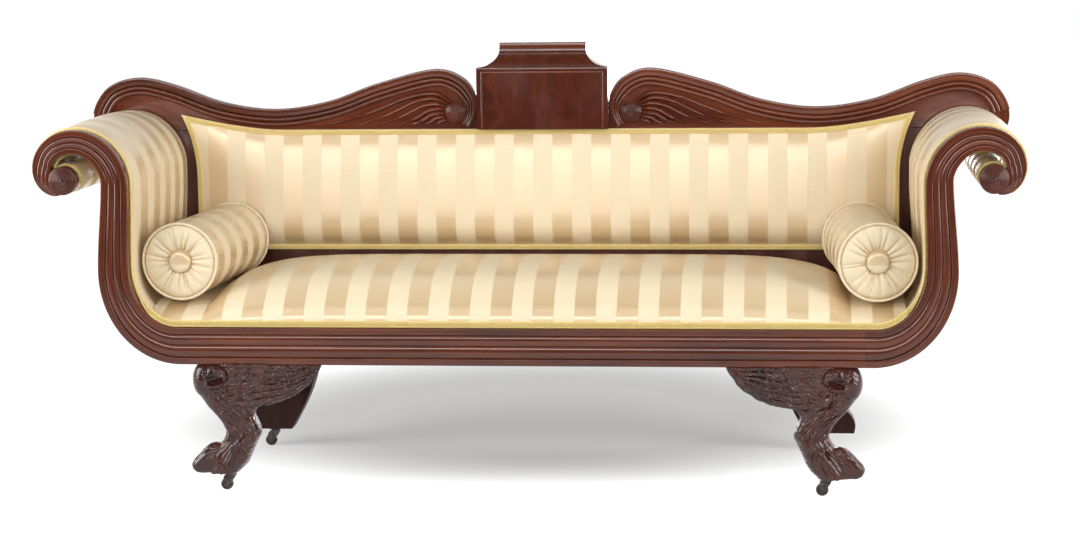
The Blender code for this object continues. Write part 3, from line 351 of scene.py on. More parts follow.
# The slot name for each material of a shaped piece
SLOTS = dict.fromkeys((MAHOGANY, MAHOGANY_X, FLAME, TURNED), "mahogany")
SLOTS |= {DARK: "dark_mahogany", UNPOLISHED_SHADED_WOOD: "dark_mahogany", SATIN: "striped_satin"}
SLOTS |= {GIMP: "gold_gimp", BRASS: "aged_brass"}


# Meshes

def smooth_line(stations, count):
    """Points evenly spaced in parameter on a smooth curve through the stations."""
    stations = np.array(stations, dtype=float)
    padded = np.vstack([2 * stations[0] - stations[1], stations, 2 * stations[-1] - stations[-2]])
    places = np.linspace(0, len(stations) - 1, count)
    first = np.minimum(places.astype(int), len(stations) - 2)
    t = (places - first)[:, None]
    a, b, c, d = (padded[first + k] for k in range(4))
    return 0.5 * (2 * b + (c - a) * t + (2 * a - 5 * b + 4 * c - d) * t**2 + (3 * b - a - 3 * c + d) * t**3)


def step(value, low, high):
    """A smooth rise from nothing at low to one at high."""
    t = np.clip((value - low) / (high - low), 0, 1)
    return t * t * (3 - 2 * t)


def circle(count):
    """Evenly spaced angles round a circle."""
    return np.linspace(0, 2 * pi, count, endpoint=False)


def xyz(x, y, z):
    """Points from three coordinates, each a number or a row of them."""
    return np.stack(np.broadcast_arrays(x, y, z), axis=-1)


def unit(vectors):
    return vectors / np.linalg.norm(vectors, axis=-1, keepdims=True)


def side_normals(line):
    """Unit vectors to the left of a line's direction of travel."""
    along = unit(np.gradient(line, axis=0))
    return np.stack([-along[:, 1], along[:, 0]], axis=1)


def run_lengths(line):
    """The distance along a line at each of its points."""
    return np.concatenate([[0.0], np.cumsum(np.linalg.norm(np.diff(line, axis=0), axis=1))])


def quarter_round(count):
    """What is left to the side and above over a quarter turn of unit radius."""
    angles = np.linspace(0, pi / 2, count)
    return 1 - np.cos(angles), 1 - np.sin(angles)


def reed(start, end, depth, count):
    """(distance across, depth) over a half-round reed, after its first point."""
    angles = np.linspace(0, pi, count)[1:]
    return list(zip(start + (end - start) * (1 - np.cos(angles)) / 2, depth * (1 - np.sin(angles))))


def read(items, key):
    """A vector of each vertex or normal of a mesh."""
    values = np.empty(len(items) * 3)
    items.foreach_get(key, values)
    return values.reshape(-1, 3)


def tagged(mesh, name, values):
    """Stores a vector at each point, for a material to read."""
    attribute = mesh.attributes.new(name, "FLOAT_VECTOR", "POINT")
    attribute.data.foreach_set("vector", np.asarray(values, np.float32).ravel())


def finished(shape, mesh):
    """Writes an edited shape to a mesh, or to a new mesh of a name."""
    mesh = bpy.data.meshes.new(mesh) if isinstance(mesh, str) else mesh
    shape.to_mesh(mesh)
    shape.free()
    return mesh


def grid_mesh(name, points, caps="flat", tags=()):
    """A closed mesh through rows of points, each row a ring. The two ends get flat caps, or a strip of quads
    between the halves of the ring where an end isn't flat, or are joined to each other."""
    points = np.asarray(points, float)
    rows, columns = points.shape[:2]
    index = np.arange(rows * columns).reshape(rows, columns)
    index = np.hstack([index, index[:, :1]])
    if caps == "joined":
        index = np.vstack([index, index[:1]])
    corners = index[:-1, :-1], index[:-1, 1:], index[1:, 1:], index[1:, :-1]
    faces = np.stack(corners, axis=-1).reshape(-1, 4).tolist()
    last = (rows - 1) * columns
    if caps == "strip":
        ends = [(i, i + 1, columns - 2 - i, columns - 1 - i) for i in range(columns // 2 - 1)]
        faces += [[first + corner for corner in end] for first in (0, last) for end in ends]
    elif caps == "flat":
        faces.append(list(range(columns))[::-1])
        faces.append(list(range(last, last + columns)))
    mesh = bpy.data.meshes.new(name)
    mesh.from_pydata(points.reshape(-1, 3).tolist(), [], faces)
    for tag, values in dict(tags).items():
        tagged(mesh, tag, values)
    shape = bmesh.new()
    shape.from_mesh(mesh)
    bmesh.ops.recalc_face_normals(shape, faces=shape.faces)
    return finished(shape, mesh)


def linked(name, data):
    """A new object in the scene."""
    piece = bpy.data.objects.new(name, data)
    bpy.context.scene.collection.objects.link(piece)
    return piece


def show(name, shape, material, *replaces, body="frame", slot=None, fill=None, sharp=40, caps="flat", **tags):
    """Shows a mesh, or a mesh through rings of points, as a piece that rides a body. It is shaded smooth
    except over edges sharper than so many degrees."""
    mesh = shape if isinstance(shape, bpy.types.Mesh) else grid_mesh(name, shape, caps, tags)
    mesh.materials.clear()
    mesh.materials.append(material)
    mesh.shade_smooth()
    mesh.set_sharp_from_angle(angle=radians(sharp))
    piece = linked(name, mesh)
    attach(piece, body)
    slot or SLOTS[material]
    if replaces:
        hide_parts(*replaces)


def lathe(name, profile, steps, place):
    """A turned solid that points to the front: the profile is (radius, height) from end to end."""
    angles = circle(steps)
    mesh = grid_mesh(name, [xyz(r * np.cos(angles), r * np.sin(angles), h) for r, h in profile])
    mesh.transform(Matrix.Translation(place) @ Matrix.Rotation(pi / 2, 4, "X"))
    return mesh


def eased_box(name, low, high, ease):
    """A box with rounded edges."""
    shape = bmesh.new()
    bmesh.ops.create_cube(shape, size=1.0)
    bmesh.ops.scale(shape, vec=np.subtract(high, low), verts=shape.verts)
    bmesh.ops.translate(shape, vec=np.add(low, high) / 2, verts=shape.verts)
    bmesh.ops.bevel(shape, geom=shape.edges[:], offset=ease, segments=3, profile=0.5, affect="EDGES")
    return finished(shape, name)


def merged(name, meshes):
    """One mesh that holds several closed ones side by side."""
    shape = bmesh.new()
    for mesh in meshes:
        shape.from_mesh(mesh)
    return finished(shape, name)


def evaluated(base, *tools):
    """The mesh of an object after its modifiers. The object and its tools are removed."""
    bpy.context.view_layer.update()
    graph = bpy.context.evaluated_depsgraph_get()
    mesh = bpy.data.meshes.new_from_object(base.evaluated_get(graph))
    for piece in (base, *tools):
        bpy.data.objects.remove(piece, do_unlink=True)
    return mesh


def united(name, meshes):
    """One mesh out of several closed ones that overlap."""
    base, *tools = [linked(name, mesh) for mesh in meshes]
    for tool in tools:
        boolean = base.modifiers.new("union", "BOOLEAN")
        boolean.operation = "UNION"
        boolean.solver = "MANIFOLD"
        boolean.object = tool
    return evaluated(base, *tools)


def remeshed(name, mesh, voxel):
    """One even skin round a mesh of overlapping closed solids."""
    base = linked(name, mesh)
    skin = base.modifiers.new("skin", "REMESH")
    skin.mode = "VOXEL"
    skin.voxel_size = voxel
    soften = base.modifiers.new("soften", "SMOOTH")
    soften.factor = 0.5
    soften.iterations = 4
    return evaluated(base)


# Arms and front rail

def arm_edges():
    """Matching (x, z) points on an arm's sitter's edge and outside edge, from the rail to the eye."""
    rail_mid = (RAIL_TOP + RAIL_BOTTOM) / 2
    neck_x = EYE_X - SCROLL_R + NECK_W / 2
    centre = [(SEAM_X + CLEAR, rail_mid)]
    width = [RAIL_H]
    for angle in np.linspace(0, pi / 2, BEND_STEPS):
        x = BEND_X + (POST_X - BEND_X) * sin(angle)
        centre.append((x, BEND_TOP - (BEND_TOP - rail_mid) * cos(angle)))
        width.append(RAIL_H + (POST_W - RAIL_H) * angle / (pi / 2))
    for t in np.linspace(0, 1, POST_STEPS)[1:-1]:
        centre.append((POST_X + (neck_x - POST_X) * step(t, 0, 1), BEND_TOP + (EYE_Z - BEND_TOP) * t))
        width.append(POST_W + (NECK_W - POST_W) * t)
    centre = np.array(centre)
    half = side_normals(centre)
    half[0] = (0, 1)
    half *= np.array(width)[:, None] / 2
    seat_r = EYE_R + CLEAR
    s = (pi - SCROLL_ANGLES) / (pi - SCROLL_END)
    outer = SCROLL_R + (seat_r + SCROLL_TIP - SCROLL_R) * s + SCROLL_BOW * np.sin(2 * pi * s)
    left = np.maximum(0.0, (SCROLL_ANGLES - HOOK_END) / (pi - HOOK_END))
    inner = seat_r + (SCROLL_R - NECK_W - seat_r) * left**HOOK_SHARPNESS
    spokes = np.stack([np.cos(SCROLL_ANGLES), np.sin(SCROLL_ANGLES)], axis=1)
    near, far = ((EYE_X, EYE_Z) + radius[:, None] * spokes for radius in (outer, inner))
    return np.vstack([centre + half, near]), np.vstack([centre - half, far])


SITTER, OUTSIDE = arm_edges()
ARM_RUN = run_lengths((SITTER + OUTSIDE) / 2)
SCROLL_FIRST = len(SITTER) - SCROLL_STEPS
BANDS_SETTLED = BEND_STEPS + POST_STEPS // 2
# Keeps the grain of the front rail apart from that of the arms
RAIL_GRAIN_SHIFT = 3


def facing_section(width, bands, thickness):
    """(distance across, depth) round a facing: eased edges, flat bands and two half-round reeds."""
    ease = min(EASE_R, 0.15 * width)
    groove = min(GROOVE_D, GROOVE_D * width / NECK_W)
    first, middle, last = (band * width for band in bands)
    lip = min(GROOVE_LIP, 0.3 * first)
    hold = 0.1 * (first - lip - ease)
    beside, above = quarter_round(5)
    points = [(0.0, thickness), *zip(ease * beside, ease * above)]
    points += [(ease + hold, 0.0), (first - lip - hold, 0.0), *zip(first - lip * above, groove * beside)]
    points += reed(first, middle, groove, 13) + reed(middle, last, groove, 13)
    beside, above = beside[::-1], above[::-1]
    points += [*zip(last + lip * above[1:], groove * beside[1:]), (last + lip + hold, 0.0)]
    points += [(width - ease - hold, 0.0), *zip(width - ease * beside, ease * above), (width, thickness)]
    return np.array(points).T


def arm_facing(side, sign):
    """The reeded front of an arm, which narrows up the post and closes in a scroll on the eye."""
    rings, grain = [], []
    for i, (near, far) in enumerate(zip(SITTER, OUTSIDE)):
        blend = min(1.0, i / BANDS_SETTLED)
        bands = [a + (b - a) * blend for a, b in zip(RAIL_BANDS, SCROLL_BANDS)]
        width = np.linalg.norm(far - near)
        across, depth = facing_section(width, bands, FACING_T)
        at = near + (far - near) / width * across[:, None]
        rings.append(xyz(sign * at[:, 0], FACE_Y + depth, at[:, 1]))
        grain.append(xyz(ARM_RUN[i], across, depth + sign))
    show(f"{side}_reeded_facing", rings, MAHOGANY, f"{side}_arm_facing", grain=grain)


def front_rail():
    across, depth = facing_section(RAIL_H, RAIL_BANDS, FRONT_RAIL_T)
    stations = np.linspace(-SEAM_X, SEAM_X, 9)
    rings = [xyz(x, FACE_Y + depth, RAIL_TOP - across) for x in stations]
    grain = [xyz(x + RAIL_GRAIN_SHIFT, across, depth) for x in stations]
    show("reeded_front_rail", rings, MAHOGANY, "front_seat_rail", grain=grain)


def ringed_boss(radius, proud, depth, rings):
    """The profile of a turned boss: a low dome with fine rings round a small tip, and a rolled rim."""
    shares = [(0.004, 1.0), (0.05, 0.97), (0.10, 0.84)]
    profile = [(radius * r, proud * h) for r, h in shares]
    steps = 6 * rings
    for i in range(steps):
        t = i / (steps - 1)
        ripple = 0.020 * radius * sin(pi * (i % 6) / 6)
        profile.append((radius * (0.13 + 0.77 * t), proud * (0.80 - 0.56 * t * t) + ripple))
    for angle in np.linspace(0, pi / 2, 6):
        profile.append((radius * (0.92 + 0.08 * sin(angle)), proud * (0.06 + 0.18 * cos(angle))))
    return profile + [(radius, -depth), (radius * 0.004, -depth)]


def arm_eye(side, sign):
    name = f"{side}_turned_eye"
    profile = ringed_boss(EYE_R, EYE_PROUD, FACING_T, 7)
    show(name, lathe(name, profile, 96, (sign * EYE_X, FACE_Y, EYE_Z)), TURNED, f"{side}_arm_eye")


# Crest and tablet

CREST_EYE_X, CREST_EYE_Z, CREST_EYE_R = turned("right_crest_eye")
CREST_EYE_PROUD = 0.0125
CREST_INNER = TABLET_X + CLEAR
CREST_OUT = 0.073
CREST_SPAN = EYE_X + CREST_OUT - CREST_INNER
CREST_BAND = 0.020
CREST_REED = 0.0115
CREST_MOULDING = CREST_BAND + 2 * CREST_REED
CREST_GROOVE = 0.0062
CREST_LIP = 0.0025
CREST_EASE = 0.0018
CREST_RELIEF = 0.006
CREST_BURIED = 0.018
CREST_ARRIS = 0.0015
CREST_NOTCH = 0.062
CREST_FRONT = CREST_Y + CREST_RELIEF
# The crest's upper edge, as (distance from an end of the crest or share of its span, rise): the scroll
# beside the tablet, the sweep and the outer lobe
CREST_SCROLL = (0.022, 0.0), (0.004, 0.038), (0.004, 0.080), (0.036, 0.124), (0.106, 0.144)
CREST_SWEEP = (0.257, 0.111), (0.384, 0.069), (0.521, 0.050), (0.659, 0.067), (0.786, 0.110), (0.879, 0.128)
CREST_LOBE = (0.042, 0.108), (0.002, 0.056), (0.0, 0.004), (0.036, -0.034)


def crest_edge():
    stations = [(CREST_INNER + x, CREST_Z + rise) for x, rise in CREST_SCROLL]
    stations += [(CREST_INNER + CREST_SPAN * share, CREST_Z + rise) for share, rise in CREST_SWEEP]
    stations += [(CREST_INNER + CREST_SPAN - x, CREST_Z + rise) for x, rise in CREST_LOBE]
    return smooth_line(stations, 260)


CREST_EDGE = crest_edge()
CREST_INWARD = -side_normals(CREST_EDGE)


def crest_board(name, sign):
    """The flat board of the crest, set in from the moulding's edge and square beside the tablet."""
    notch = CREST_Z + CREST_NOTCH
    above = int(np.argmax(CREST_EDGE[:, 1] > notch))
    inset = (CREST_EDGE + CREST_INWARD * CREST_ARRIS)[above:]
    outer = STILE_HIGH.x
    foot = [((outer + EYE_X) / 2, CREST_EDGE[-1][1]), (outer, CREST_Z)]
    foot += [(CREST_INNER, CREST_Z), (CREST_INNER, notch)]
    x, z = np.vstack([inset, foot]).T
    return grid_mesh(name, [xyz(sign * x, y, z) for y in (CREST_FRONT, REAR_Y)])


def crest_moulding(name, sign):
    """A plain band and two reeds that follow the edge, narrow at the eye and end behind the arm."""
    x, z = CREST_EDGE.T
    last = int(np.argmin(np.abs(z - CREST_Z - CREST_MOULDING) + (x < EYE_X)))
    beside, above = quarter_round(4)
    profile = [*zip(CREST_EASE * beside, CREST_EASE * above)]
    profile += zip(CREST_BAND - CREST_LIP * above, CREST_GROOVE * beside)
    for start in (CREST_BAND, CREST_BAND + CREST_REED):
        profile += reed(start, start + CREST_REED, CREST_GROOVE, 11)
    profile = np.array(profile + [(CREST_MOULDING, CREST_RELIEF + 0.0005)])
    rings = []
    for point, inward in zip(CREST_EDGE[2 : last + 1], CREST_INWARD[2 : last + 1]):
        room = math.dist(point, (CREST_EYE_X, CREST_EYE_Z)) - CREST_EYE_R - 0.0008
        width = CREST_MOULDING * room / (CREST_MOULDING**6 + room**6) ** (1 / 6)
        buried = [(width, CREST_BURIED), (0.0, CREST_BURIED)]
        across, depth = np.vstack([profile * (width / CREST_MOULDING), buried]).T
        at = point + inward * across[:, None]
        rings.append(xyz(sign * at[:, 0], CREST_Y + depth, at[:, 1]))
    return grid_mesh(name, rings)


# (x, z) of each reed's peak and the x where it runs out on the plain strip, as measured
FAN = (
    ((0.262, 0.868), 0.520), ((0.265, 0.856), 0.445), ((0.260, 0.843), 0.395), ((0.256, 0.831), 0.345),
    ((0.258, 0.8195), 0.315), ((0.253, 0.810), 0.285), ((0.246, 0.802), 0.260),
)
FAN_ANGLES = np.radians(np.linspace(66, -34, len(FAN)))
FAN_FOOT = 0.012
# Shares of the way from a reed's peak to its end, across and down
FAN_FALL = (0.25, 0.12), (0.48, 0.43), (0.72, 0.735), (1.0, 1.0)
FAN_HALF = 0.0070
FAN_PROUD = 0.0095
FAN_BURIED = 0.006


def fan_reed(name, sign, angle, peak, end_x):
    """A tapered reed that springs from the eye, arches over and runs out on the plain strip."""
    rim = CREST_EYE_R + 0.001
    start = (CREST_EYE_X + rim * cos(angle), CREST_EYE_Z + rim * sin(angle))
    end = np.array((end_x, CREST_Z + FAN_FOOT))
    line = smooth_line([start, peak, *(peak + (end - peak) * share for share in np.array(FAN_FALL))], 46)
    t = np.linspace(0, 1, len(line))
    half = FAN_HALF * np.interp(t, (0.0, 0.2, 0.7, 1.0), (0.62, 1.0, 0.95, 0.40))
    proud = FAN_PROUD * np.interp(t, (0.0, 0.1, 0.80, 1.0), (0.75, 1.0, 0.95, 0.35))
    arc = np.linspace(0, pi, 11)
    dome = np.clip(np.sin(arc), 0, 1) ** 1.6 * (1 + 0.30 * np.cos(arc))
    rings = []
    for point, normal, reach, rise in zip(line, side_normals(line), half, proud):
        at = point + normal * np.array([*-np.cos(arc) * reach, reach, -reach])[:, None]
        lift = np.array([*rise * dome, -FAN_BURIED, -FAN_BURIED])
        rings.append(xyz(sign * at[:, 0], CREST_FRONT - lift, at[:, 1]))
    return grid_mesh(name, rings)


def crest_rail(side, sign):
    name = f"{side}_carved_crest"
    solids = [crest_board(name, sign), crest_moulding(name, sign)]
    solids += [fan_reed(name, sign, angle, *row) for angle, row in zip(FAN_ANGLES, FAN)]
    mesh = united(name, solids)
    x, y, z = read(mesh.vertices, "co").T
    line = CREST_EDGE[::4]
    nearest = np.hypot(np.abs(x)[:, None] - line[:, 0], z[:, None] - line[:, 1]).argmin(axis=1)
    tagged(mesh, "grain", xyz(run_lengths(line)[nearest] + 7 * sign, z - line[nearest, 1], y))
    show(name, mesh, MAHOGANY, f"{side}_crest_rail", sharp=35)
    name = f"{side}_turned_crest_eye"
    profile = ringed_boss(CREST_EYE_R, CREST_EYE_PROUD, 0.0, 5)
    mesh = lathe(name, profile, 64, (sign * CREST_EYE_X, CREST_FRONT - CLEAR, CREST_EYE_Z))
    show(name, mesh, TURNED, f"{side}_crest_eye")


CORNICE_LOW, CORNICE_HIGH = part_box("tablet_cornice")
CORNICE_EASE = 0.0025
CORNICE_BEAD_R = 0.0016
SHOULDER_Z = CREST_Z + 0.149
COVE_FOOT = 0.12
COVE_POWER = 1.8
COVE_STEP = 0.0010
PANEL_IN = 0.0125
PANEL_FOOT = CREST_Z + 0.003
PANEL_BEAD_R = 0.0026


def tablet():
    """The centre block: a flame-figured panel in a thin raised bead, coved shoulders and a flat cornice."""
    front = TABLET_LOW.y
    sections = [(CREST_Z, TABLET_X - 0.001, front + 0.001)]
    heights = CREST_Z + 0.001, CREST_Z + 0.004, SHOULDER_Z - 0.006, SHOULDER_Z - 0.003
    sections += [(z, TABLET_X, front) for z in heights]
    sections.append((SHOULDER_Z - 0.0008, TABLET_X - 0.0012, front + 0.0006))
    top_z = CORNICE_LOW.z - CLEAR
    foot = front + COVE_STEP
    for angle in np.linspace(COVE_FOOT, pi / 2, 22):
        x = TABLET_X - (TABLET_X - CORNICE_HIGH.x) * sin(angle)
        z = top_z - (top_z - SHOULDER_Z) * cos(angle)
        sections.append((z, x, foot + (CORNICE_LOW.y - foot) * (1 - cos(angle) ** COVE_POWER)))
    rings = [xyz([*np.linspace(-x, x, 9), x, -x], [y] * 9 + [REAR_Y] * 2, z) for z, x, y in sections]
    show("coved_tablet", rings, FLAME, "crest_tablet")
    name = "eased_cornice"
    show(name, eased_box(name, CORNICE_LOW, CORNICE_HIGH, CORNICE_EASE), MAHOGANY_X, "tablet_cornice")
    side, head = TABLET_X - PANEL_IN, SHOULDER_Z - PANEL_IN
    panel = (-side, PANEL_FOOT), (-side, head), (side, head), (side, PANEL_FOOT)
    show("panel_bead", bead([(x, front, z) for x, z in panel], PANEL_BEAD_R), MAHOGANY_X)
    ends = [(x, CORNICE_LOW.y - 0.0004, CORNICE_LOW.z + 0.0012) for x in (-CORNICE_HIGH.x, CORNICE_HIGH.x)]
    show("cornice_bead", bead(ends, CORNICE_BEAD_R), MAHOGANY_X)


def bead(corners, radius):
    """Rings of a thin bead along straight runs with mitred corners."""
    corners = [Vector(corner) for corner in corners]
    runs = [(end - start).normalized() for start, end in zip(corners, corners[1:])]
    out = Vector((0, -1, 0))
    rings = []
    for corner, before, after in zip(corners, runs[:1] + runs, runs + runs[-1:]):
        along = (before + after).normalized()
        aside = along.cross(out) / max(0.5, along.dot(after))
        rings.append([corner + radius * (cos(a) * out * 0.8 + sin(a) * aside) for a in circle(12)])
    return rings


# Upholstery

PAD_CROWN = 0.019
PAD_CROWN_END = 0.005
PAD_START = 10
PAD_LAST = SCROLL_FIRST + int(np.argmin(np.abs(SCROLL_ANGLES - radians(-40))))
COVER_LAST = SCROLL_FIRST + int(np.argmin(np.abs(SCROLL_ANGLES - radians(72))))
COVER_PROUD = 0.006
ROLL_IN = 0.002
ROLL_CROWN = 0.003


def pad_crown(i):
    """How far the arm's padding swells past the sitter's edge at a station."""
    rise = min(1.0, i / SCROLL_FIRST * 1.15)
    fall = np.clip((i - SCROLL_FIRST) / SCROLL_STEPS / 0.7, 0, 1)
    return PAD_CROWN * rise * (1 - fall) + PAD_CROWN_END * fall


def inside_section(i, width):
    """(Offset past the sitter's edge, y) round the padding on the sitter's side."""
    t = np.linspace(0, 1, 33)
    first = ARM_FRONT + 0.6 * ARM_GIMP_W
    swell = pad_crown(i) * (1 - (1 - t) ** 5) * (1 - 0.55 * t**7)
    back = -0.5 * width
    ends = [(back, ARM_BACK), (back, ARM_FRONT), (0.0, ARM_FRONT)]
    return [*zip(swell, first + (ARM_BACK - first) * t), *ends]


def outside_section(i, width):
    """(Offset past the sitter's edge, y) round the cover on the outside."""
    t = np.linspace(0, 1, 17)
    swell = -width - COVER_PROUD * (1 - np.abs(2 * t - 1) ** 3)
    near = -0.5 * width - CLEAR
    return [*zip(swell, ARM_FRONT + (ARM_BACK - ARM_FRONT) * t), (near, ARM_BACK), (near, ARM_FRONT)]


def arm_layer(name, sign, last, section, fill, *replaces):
    rings, weave = [], []
    for i in range(PAD_START, last + 1):
        width = np.linalg.norm(SITTER[i] - OUTSIDE[i])
        offset, y = np.array(section(i, width)).T
        at = SITTER[i] + (SITTER[i] - OUTSIDE[i]) / width * offset[:, None]
        rings.append(xyz(sign * at[:, 0], y, at[:, 1]))
        weave.append(xyz(y + ARM_STRIPE_SHIFT, ARM_RUN[i], 0.0))
    show(name, rings, SATIN, *replaces, fill=fill, weave=weave)


def arm_upholstery(side, sign):
    """The padded inside of an arm, its outside cover and the covered roll in the scroll."""
    arm_layer(f"{side}_inside_arm", sign, PAD_LAST, inside_section, 0.9, f"{side}_arm_pad")
    covered = f"{side}_outside_arm", f"{side}_arm_board"
    arm_layer(f"{side}_outside_cover", sign, COVER_LAST, outside_section, 1.0, *covered)
    angles = circle(48)
    rings, weave = [], []
    for t in np.linspace(0, 1, 25):
        radius = EYE_R - ROLL_IN + ROLL_CROWN * (1 - abs(2 * t - 1) ** 4)
        y = ARM_FRONT + (ARM_BACK - ARM_FRONT) * t
        rings.append(xyz(sign * EYE_X + radius * np.cos(angles), y, EYE_Z + radius * np.sin(angles)))
        weave.append(xyz(y + ARM_STRIPE_SHIFT, angles * EYE_R, 0.0))
    show(f"{side}_arm_roll", rings, SATIN, f"{side}_arm_rail", fill=1.0, weave=weave)


SEAT_SETBACK = 0.007
SEAT_REACH = 0.846
SEAT_SHOULDER = 0.742
SEAT_END = 0.39
SEAT_ROUND = 0.03
SEAT_MEET = 0.004
SEAT_TUCK = 0.001
SEAT_BASE = RAIL_TOP + 0.0026
# (distance back from the face, height over the base) along the middle of the seat
SEAT_LINE = (
    (0.0075, 0.0), (0.0070, 0.013), (0.0105, 0.028), (0.0220, 0.047), (0.0400, 0.0635),
    (0.0620, 0.0805), (0.0850, 0.0945), (0.1250, 0.1095), (0.1850, 0.1195), (0.2650, 0.1240),
    (0.3400, 0.1220), (0.4200, 0.1120), (0.4970, 0.0930),
)


def seat():
    """The stuffed seat: a rolled front edge, a high crown, and ends that fall under the bolsters and run
    up the bend of the arms."""
    line = smooth_line(SEAT_LINE, 73)
    run = run_lengths(line)
    y = FACE_Y + line[:, 0]
    bend = SITTER[: BEND_STEPS + 1]
    foot = SEAT_BASE - SEAT_TUCK
    rings, weave = [], []
    for x in SEAT_REACH * np.sin(np.linspace(-pi / 2, pi / 2, 121)):
        across = min(1.0, abs(x) / SEAT_SHOULDER)
        share = max(SEAT_END, math.sqrt(1 - across**7.5))
        share = SEAT_END + math.hypot(share - SEAT_END, SEAT_ROUND) - SEAT_ROUND
        base = SEAT_BASE
        if abs(x) >= SEAM_X:
            base = max(base, np.interp(abs(x), *bend.T) + 0.002)
        over = SEAT_BASE + line[:, 1] * share - base
        z = base + (over + np.sqrt(over**2 + SEAT_MEET**2)) / 2
        z[0] = base - SEAT_TUCK
        rings.append(xyz(x, [*y, y[-1], y[0] + 0.004], [*z, foot, foot]))
        weave.append(xyz(x, [*run, run[-1] + 0.09, 0.0], 0.0))
    show("stuffed_seat", rings, SATIN, "seat_pad", fill=0.9, weave=weave)


BACK_PAD_LOW, BACK_PAD_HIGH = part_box("back_pad")
BACK_PAD_Z = BACK_PAD_LOW.z
BACK_PAD_X = 0.848
BACK_CORNER_X = BACK_PAD_HIGH.x
BACK_CORNER_Z = BACK_PAD_HIGH.z
BACK_FLARE_X = 0.650
BACK_FLARE_Z = 0.660
BACK_EDGE_T = 0.003
BACK_CROWN = 0.034
BACK_FULLEST = 0.24
BACK_ROUND = 0.08


def back_point(across, up):
    """A point (x, z) of the back pad's outline field: across runs from -1 to 1, and up from 0 to 1."""
    flare = max(0.0, abs(across) * BACK_CORNER_X - BACK_FLARE_X) / (BACK_CORNER_X - BACK_FLARE_X)
    top = CREST_Z - CLEAR + (BACK_CORNER_Z - CREST_Z) * flare**1.6
    z = BACK_PAD_Z + (top - BACK_PAD_Z) * up
    spread = max(0.0, z - BACK_FLARE_Z) / (BACK_CORNER_Z - BACK_FLARE_Z)
    return across * (BACK_PAD_X + (BACK_CORNER_X - BACK_PAD_X) * spread**2.2), z


def back_swell(ups):
    """The share of the crown up the back: fullest low down, leaning back above and rolled in at the gimp."""
    margin = GIMP_W / (CREST_Z - BACK_PAD_Z)
    below = np.clip((BACK_FULLEST - ups) / (BACK_FULLEST - margin), 0, 1)
    above = np.clip((ups - BACK_FULLEST) / (1 - margin - BACK_FULLEST), 0, 1)
    lean = np.sqrt(above**2 + BACK_ROUND**2) - BACK_ROUND
    return 1 - below**2.4 - (0.70 * lean / lean.max() + 0.14 * above**6 + 0.16 * above**18)


def back():
    """The stuffed back, flat under its gimp and crowned between."""
    ups = (1 - np.cos(np.linspace(0, pi, 61))) / 2
    rear = CREST_Y - CLEAR
    rings, weave = [], []
    for across in np.sin(np.linspace(-1, 1, 181) * pi / 2):
        sideways = 1 - min(1.0, abs(across) / (1 - GIMP_W / BACK_PAD_X)) ** 9
        x, z = np.array([back_point(across, up) for up in ups]).T
        crown = BACK_EDGE_T + BACK_CROWN * back_swell(ups) * sideways
        rings.append(np.vstack([xyz(x, rear - crown, z), xyz(x, rear, z)[::-1]]))
        weave.append(np.vstack([xyz(x, z, 0.0), xyz(x, z, 0.0)[::-1]]))
    show("stuffed_back", rings, SATIN, "back_pad", fill=0.9, caps="strip", weave=weave)


ARM_BEND = OUTSIDE[: BEND_STEPS + 1]
BOARD_EASE = 0.002
OUTSIDE_CROWN = 0.003


def bend_height(x):
    """The height of an arm's outside edge where it curves up from the rail."""
    return float(np.interp(abs(x), *ARM_BEND.T))


def rear_board(name, node, material, slot):
    """A board of the rear frame whose lower corners follow the curve of the arms."""
    low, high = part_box(node)
    reach = np.interp(high.z - 2 * BOARD_EASE, ARM_BEND[:, 1], ARM_BEND[:, 0])
    rings = []
    for x in np.linspace(max(low.x, -reach), min(high.x, reach), 181):
        foot = max(low.z, bend_height(x))
        ease = min(BOARD_EASE, (high.z - foot) / 3)
        y = [low.y + ease, low.y, low.y, low.y + ease, high.y - ease, high.y, high.y, high.y - ease]
        z = [foot, foot + ease, high.z - ease, high.z]
        rings.append(xyz(x, y, z + z[::-1]))
    show(name, rings, material, node, slot=slot)


def filling_board():
    """The board behind the seat that closes the frame between the stiles and the two rear rails."""
    rail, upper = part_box("rear_seat_rail")[1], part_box("lower_back_rail")[0]
    half = STILE_LOW.x - CLEAR
    low = Vector((-half, upper.y + BOARD_EASE, rail.z + CLEAR))
    high = Vector((half, rail.y, upper.z - CLEAR))
    show("filling_board", eased_box("filling_board", low, high, BOARD_EASE / 2), DARK)


def outside_back():
    """The covered back, slightly crowned."""
    low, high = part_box("outside_back")
    bulge = 1 - np.abs(np.linspace(-1, 1, 21)) ** 6
    rings, weave = [], []
    for x in np.linspace(low.x, high.x, 181):
        foot = max(low.z, bend_height(x))
        edge = 1 - abs(2 * (x - low.x) / (high.x - low.x) - 1) ** 6
        y = high.y - OUTSIDE_CROWN + OUTSIDE_CROWN * edge * bulge
        z = [*np.linspace(foot, high.z, 21), high.z, foot]
        rings.append(xyz(x, [*y, low.y, low.y], z))
        weave.append(xyz(x, z, 0.0))
    show("outside_back_cover", rings, SATIN, "outside_back", fill=1.0, weave=weave)


# Gimp

# Stations of the bend over which the gimp turns from the seat's front onto the arm
GIMP_TURN = (16, 32)
BRAID_PITCH = 0.011
BRAID_STRAND_R = 0.0017
BRAID_T = 0.0006
BRAID_LIE = 0.0004
# How far a strand swings aside as a share of the width, lies over the line, dips and is flattened
STRAND_SWING = 0.37
STRAND_LIFT = 0.0014
STRAND_DIP = 0.0009
STRAND_FLAT = 1.2
HOOK_GIMP_W = 0.8 * GIMP_W
HOOK_STATIONS = range(SCROLL_FIRST + 18, SCROLL_FIRST + int(SCROLL_STEPS * 0.56))
HOOK_GIMP_Y = ARM_FRONT + GIMP_W * 0.5


